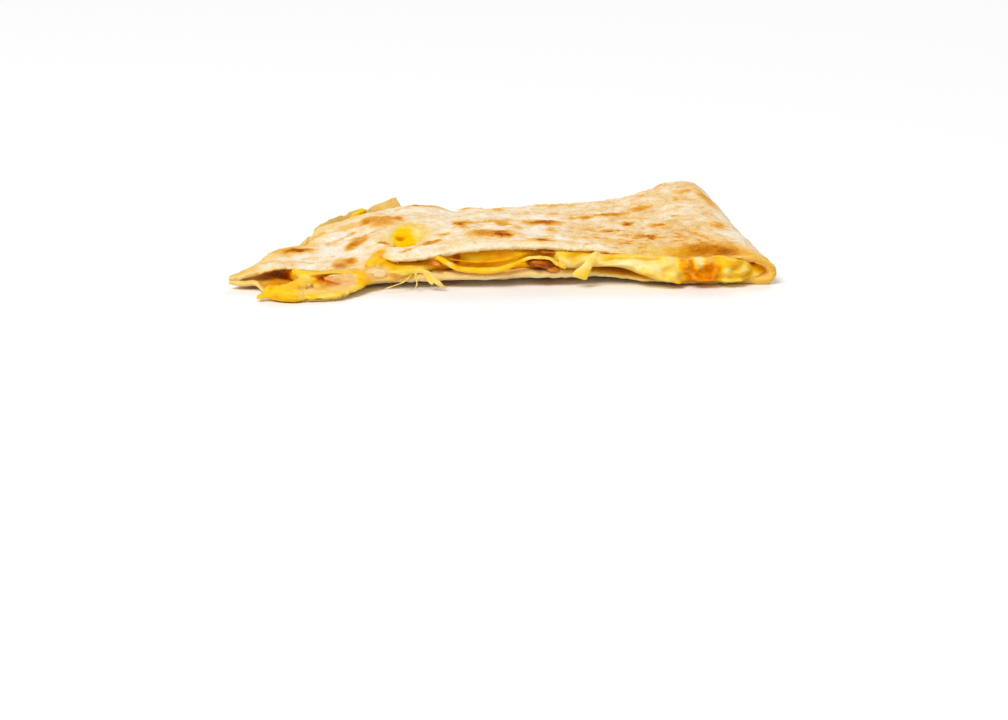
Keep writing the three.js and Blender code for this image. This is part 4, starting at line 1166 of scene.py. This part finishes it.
core, x, y, low, high, w, v, full = filling_slab("core", CORE, (120, 8), 50)
move_corners(core, np.column_stack((x, y, low + (high - low) * w)))
back_slab, x, y, low, high, w, v, full = filling_slab("back_slab", BACK_SLAB, (240, 30), 8)
z = low + (high - low) * w
face_y = HALF - BACK_HOLLOW - np.sin(x / BACK_WAVES) + swell(BACK_LOBES, x, z)
face_y = face_y + 0.5 * drawn_folds(np.column_stack((x, x * 0, z)), 75.0)
inner_y = BACK_SLAB[0] - OVERLAP
move_corners(back_slab, np.column_stack((x, face_y * v + inner_y * (1 - v), z)))
welled = [welled_up("well", IN_HOLE), pulled("rim_bit", ON_RIM)]
cheese = melt_together("melted_cheese", [core, back_slab, *welled], voxel=0.45, kept=0.6)
skin = corners_of(cheese)
in_hole = (skin[:, 1] < 3) & (skin[:, 0] < -15)
shown = np.maximum(step(skin[:, 1], 20, 25), in_hole)
folds = (0.24 * drawn_folds(skin, 85.0) - 0.05) * shown
along_normals(cheese, folds - 1.3 * pitted(skin, 1.2, 2.4) - 0.6 * pitted(skin, 3, 6))

STRAND_TONES = (  # x, y, z, length, depth, height, tone
    (-58, -42, 2, 4.5, 3.5, 3, 0.56), (-64.5, -41.5, 1, 2.5, 2, 2, 0.5),
    (-46, -41, 1.6, 9, 4.4, 1.6, 0.34), (-53, -36, 3.2, 3, 2.4, 1.6, 0.44),
    (-46.2, -34.6, 2, 2.8, 2.2, 1.3, 0.98), (-5, -31.6, 5, 14, 1.2, 1.6, 0.44),
    (8, -31.1, 8.2, 5, 1.2, 1, 0.3), (-6, -29, 7, 12, 1.6, 2.4, 0.6), (-22, -33, 5, 8, 1.2, 3, 0.2),
    (-17, -33.6, 1, 3, 1.2, 2, 0.26), (19, -32.4, 4.4, 3, 1.4, 4, 0.3),
    (-25.6, -12, 9, 2.6, 9, 3, 0.56), (-21.6, -12, 9, 2, 6, 3, 0.2), (-33, -28, 8, 3, 4, 3, 0.64),
    (-29.5, -34.8, 2, 4, 1, 2.6, 0.16), (-23.4, -34.5, 2, 1, 1, 2, 0.16),
    # the tone 1 at x -58, y -29 is painted shadow on the end of the filling in the left hollow
    (-37, 24, 9, 4, 3, 3, 0.5), (-58, -29, 3.5, 3, 3, 4, 1), (-24.6, -1, 9, 4.5, 3.6, 3, 0.3),
    (-28.6, -9, 9, 1.2, 6, 3, 0.36),
)
STRAND_SHARE = 3  # these count this many times as much as the tones of the lobes
PLAIN_TONE = 0.6  # of the cheese that is far from all of them,
PLAIN_SHARE = 0.01  # and how little it counts beside them
FILMS = (  # x, y, z, length, depth, height, how much the ham or lip under it shows through
    (-42.2, -34.5, 3, 3.4, 4, 2.3, 0.8), (-46.4, -34, 4.2, 2.4, 4, 0.5, 0.7),
    (-47, -38.5, 2, 8, 3.6, 2.2, 0.42), (-33.2, -32, 4.6, 3.2, 4, 2.3, 0.7),
    (-29.2, -32, 3.6, 2, 4, 1.2, 0.4),
)


def apart(skin, x, y, z, long, deep, tall):
    """0 in the middle of a long, deep and tall spot, 1 on its surface, and more outside."""
    return (((skin - (x, y, z)) / (long, deep, tall)) ** 2).sum(axis=1)


def toned(piece):
    """How deep the cheese's tone is at each place, from cream at 0 through yellow to brown at 1:
    browning, and painted shade in the fold valleys, the pit and the set-back lobes.
    """
    skin = corners_of(piece)
    tones = [(x, -32, z, wide, 9, tall, tone, 1) for x, z, wide, tall, far, tone in FRONT_LOBES]
    tones += [(x, 32, z, wide, 9, tall, tone, 1) for x, z, wide, tall, far, tone in BACK_LOBES]
    tones += [(*place, STRAND_SHARE) for place in STRAND_TONES]
    weight = np.full(len(skin), PLAIN_SHARE)
    total = weight * PLAIN_TONE
    for *place, tone, counts in tones:
        share = counts * np.exp(-2 * apart(skin, *place))
        weight += share
        total += share * tone
    drawn = drawn_folds(skin, 91.0)
    inner = 0.04 * stretch(skin[:, 1], -30.5, -27.5, -20, -14)
    # Darker where the fold clouds are low: painted shade in the valleys of the folds.
    tone = total / weight - 0.2 * drawn + 0.14 * clouds(skin, 3.5, 95.0, 2) + inner
    # The pit in the hole is toned darker as painted shade.
    return tone + 0.7 * pitted(skin, 1.2, 2.2)


def filmed(piece):
    """Where the cheese is only a film over a piece of ham or over the lip."""
    skin = corners_of(piece)
    ragged = 0.5 * clouds(skin, 1.5, 105.0, 3)
    film = np.zeros(len(skin))
    for *place, thin in FILMS:
        film = np.maximum(film, thin * fade(apart(skin, *place) + ragged, 0.5, 1.3))
    return film


def melted_cheese(name, shine):
    """The finish of melted cheese, with its specular level."""
    melted = Finish(name)
    swirl = melted.cloudy(1.6, 4, 0.6, seed=7.0, squeeze=(0.5, 1, 1))
    tone = melted.math("ADD", melted.painted("tone"), melted.between(swirl, 0.3, 0.7, -0.1, 0.1))
    colour = melted.ramp(
        tone, (0.0, 254, 230, 166), (0.2, 253, 216, 112), (0.4, 250, 200, 44), (0.56, 250, 192, 2),
        (0.76, 241, 166, 1), (0.87, 232, 146, 1), (1.0, 200, 108, 3),
    )
    return melted.finish({
        "Base Color": melted.mix(melted.painted("film"), colour, srgb(234, 184, 124)),
        "Roughness": 0.34,
        "Normal": melted.relief(1.4, 0.05),
        "Specular IOR Level": shine,
        "Subsurface Weight": 0.35,
        "Subsurface Radius": (0.0025, 0.0014, 0.0005),
    })


for piece, shine in ((cheese_front, 0.13), (cheese, 0.0)):
    paint(piece, "tone", toned(piece))
    paint(piece, "film", filmed(piece))
    move_corners(piece, (corners_of(piece) + SLICE_AT) * MM)
    piece.data.materials.clear()
    piece.data.materials.append(melted_cheese(piece.name, shine))
    smooth(piece)
    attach(piece, "root")
    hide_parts("cheese")

# Ham ---------------------------------------------------------------------------------------
# Chopped cooked ham, salted and smoked. Three pieces show in the front cut and two in the
# back cut, each held by the cheese that has melted round it, with a few scraps beside them.
HAM = (  # name, x, y, z, length, depth, height, turn, how round, how lean
    ("ham_1", -42.4, -32.1, 3.1, 8.6, 5, 3.8, 0.1, 0.74, 0.2),
    ("ham_2", -33.4, -29.7, 4.3, 7, 5, 3.4, -0.1, 0.78, 0.26),
    ("ham_3", 9, -28.5, 6.2, 8.2, 6, 2.7, 0.15, 0.9, 0.98),
    ("ham_4", -6, 29.4, 3.9, 6, 5, 2.4, 0.2, 0.8, 0.4),
    ("ham_5", 25, 30, 4.9, 7, 5, 3, -0.2, 0.8, 0.7),
)
SCRAPS = (  # the same, without the name
    (11.9, -30.1, 4.7, 3.4, 1.6, 1.5, 0.4, 0.95, 0.64),
    (-18.2, -30.4, 6.5, 2.8, 2, 1.2, 0.2, 0.9, 0.6),
    (11, -29.2, 8.9, 4.2, 1.6, 1, 0.1, 0.9, 0.86),
    (30, 31.4, 3.2, 1.8, 1.4, 1.2, 0.5, 0.9, 0.5),
)


def chopped(name, x, y, z, long, deep, tall, turn, roundness):
    """A bluntly cornered, uneven piece of meat; its lumps follow from its place."""
    bpy.ops.mesh.primitive_cube_add(size=2)
    chunk = bpy.context.object
    chunk.name = name
    modify(chunk, "SUBSURF", levels=4, render_levels=4, subdivision_type="SIMPLE")
    block = corners_of(chunk)
    block = block / np.linalg.norm(block, axis=1)[:, None] ** roundness
    lumps = 1.04 + 0.2 * clouds(block, 0.9, x, 2) + 0.03 * clouds(block, 0.35, y, 2)
    block = block * lumps[:, None]
    block[:, 2] *= 1 - 0.3 * block[:, 0] ** 2
    block = block * (long / 2, deep / 2, tall / 2)
    block[:, 2] -= 0.12 * block[:, 0]
    cos_turn, sin_turn = math.cos(turn), math.sin(turn)
    block[:, :2] = block[:, :2] @ np.array(((cos_turn, sin_turn), (-sin_turn, cos_turn)))
    move_corners(chunk, (block + (x, y, z) + SLICE_AT) * MM)
    return chunk


ham = Finish("cooked_ham")
marbled = ham.cloudy(1.7, 4, 0.6, seed=2.0, squeeze=(0.4, 1, 1))
marbled = ham.between(marbled, 0.35, 0.65, -0.2, 0.2)
lean = ham.math("ADD", ham.painted("lean"), marbled)
COOKED_HAM = ham.finish({
    "Base Color": ham.ramp(
        lean, (0.0, 248, 220, 172), (0.3, 240, 190, 118), (0.6, 224, 142, 46), (0.85, 184, 96, 6),
        (1.0, 150, 68, 3),
    ),
    "Roughness": 0.36,
    "Normal": ham.relief(0.9, 0.05),
    "Specular IOR Level": 0.14,
    "Subsurface Weight": 0.3,
    "Subsurface Radius": (0.002, 0.0008, 0.0004),
})


def cured(piece, how_lean):
    """Gives a piece the finish of ham, from all fat at 0 to all lean at 1."""
    paint(piece, "lean", np.full(len(piece.data.vertices), how_lean))
    piece.data.materials.append(COOKED_HAM)
    smooth(piece)
    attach(piece, "root")


for name, *place, how_lean in HAM:
    chunk = chopped("chopped_" + name, *place)
    cured(chunk, how_lean)
    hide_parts(name)
for k, (*place, how_lean) in enumerate(SCRAPS):
    cured(chopped(f"ham_scrap_{k + 1}", *place), how_lean)
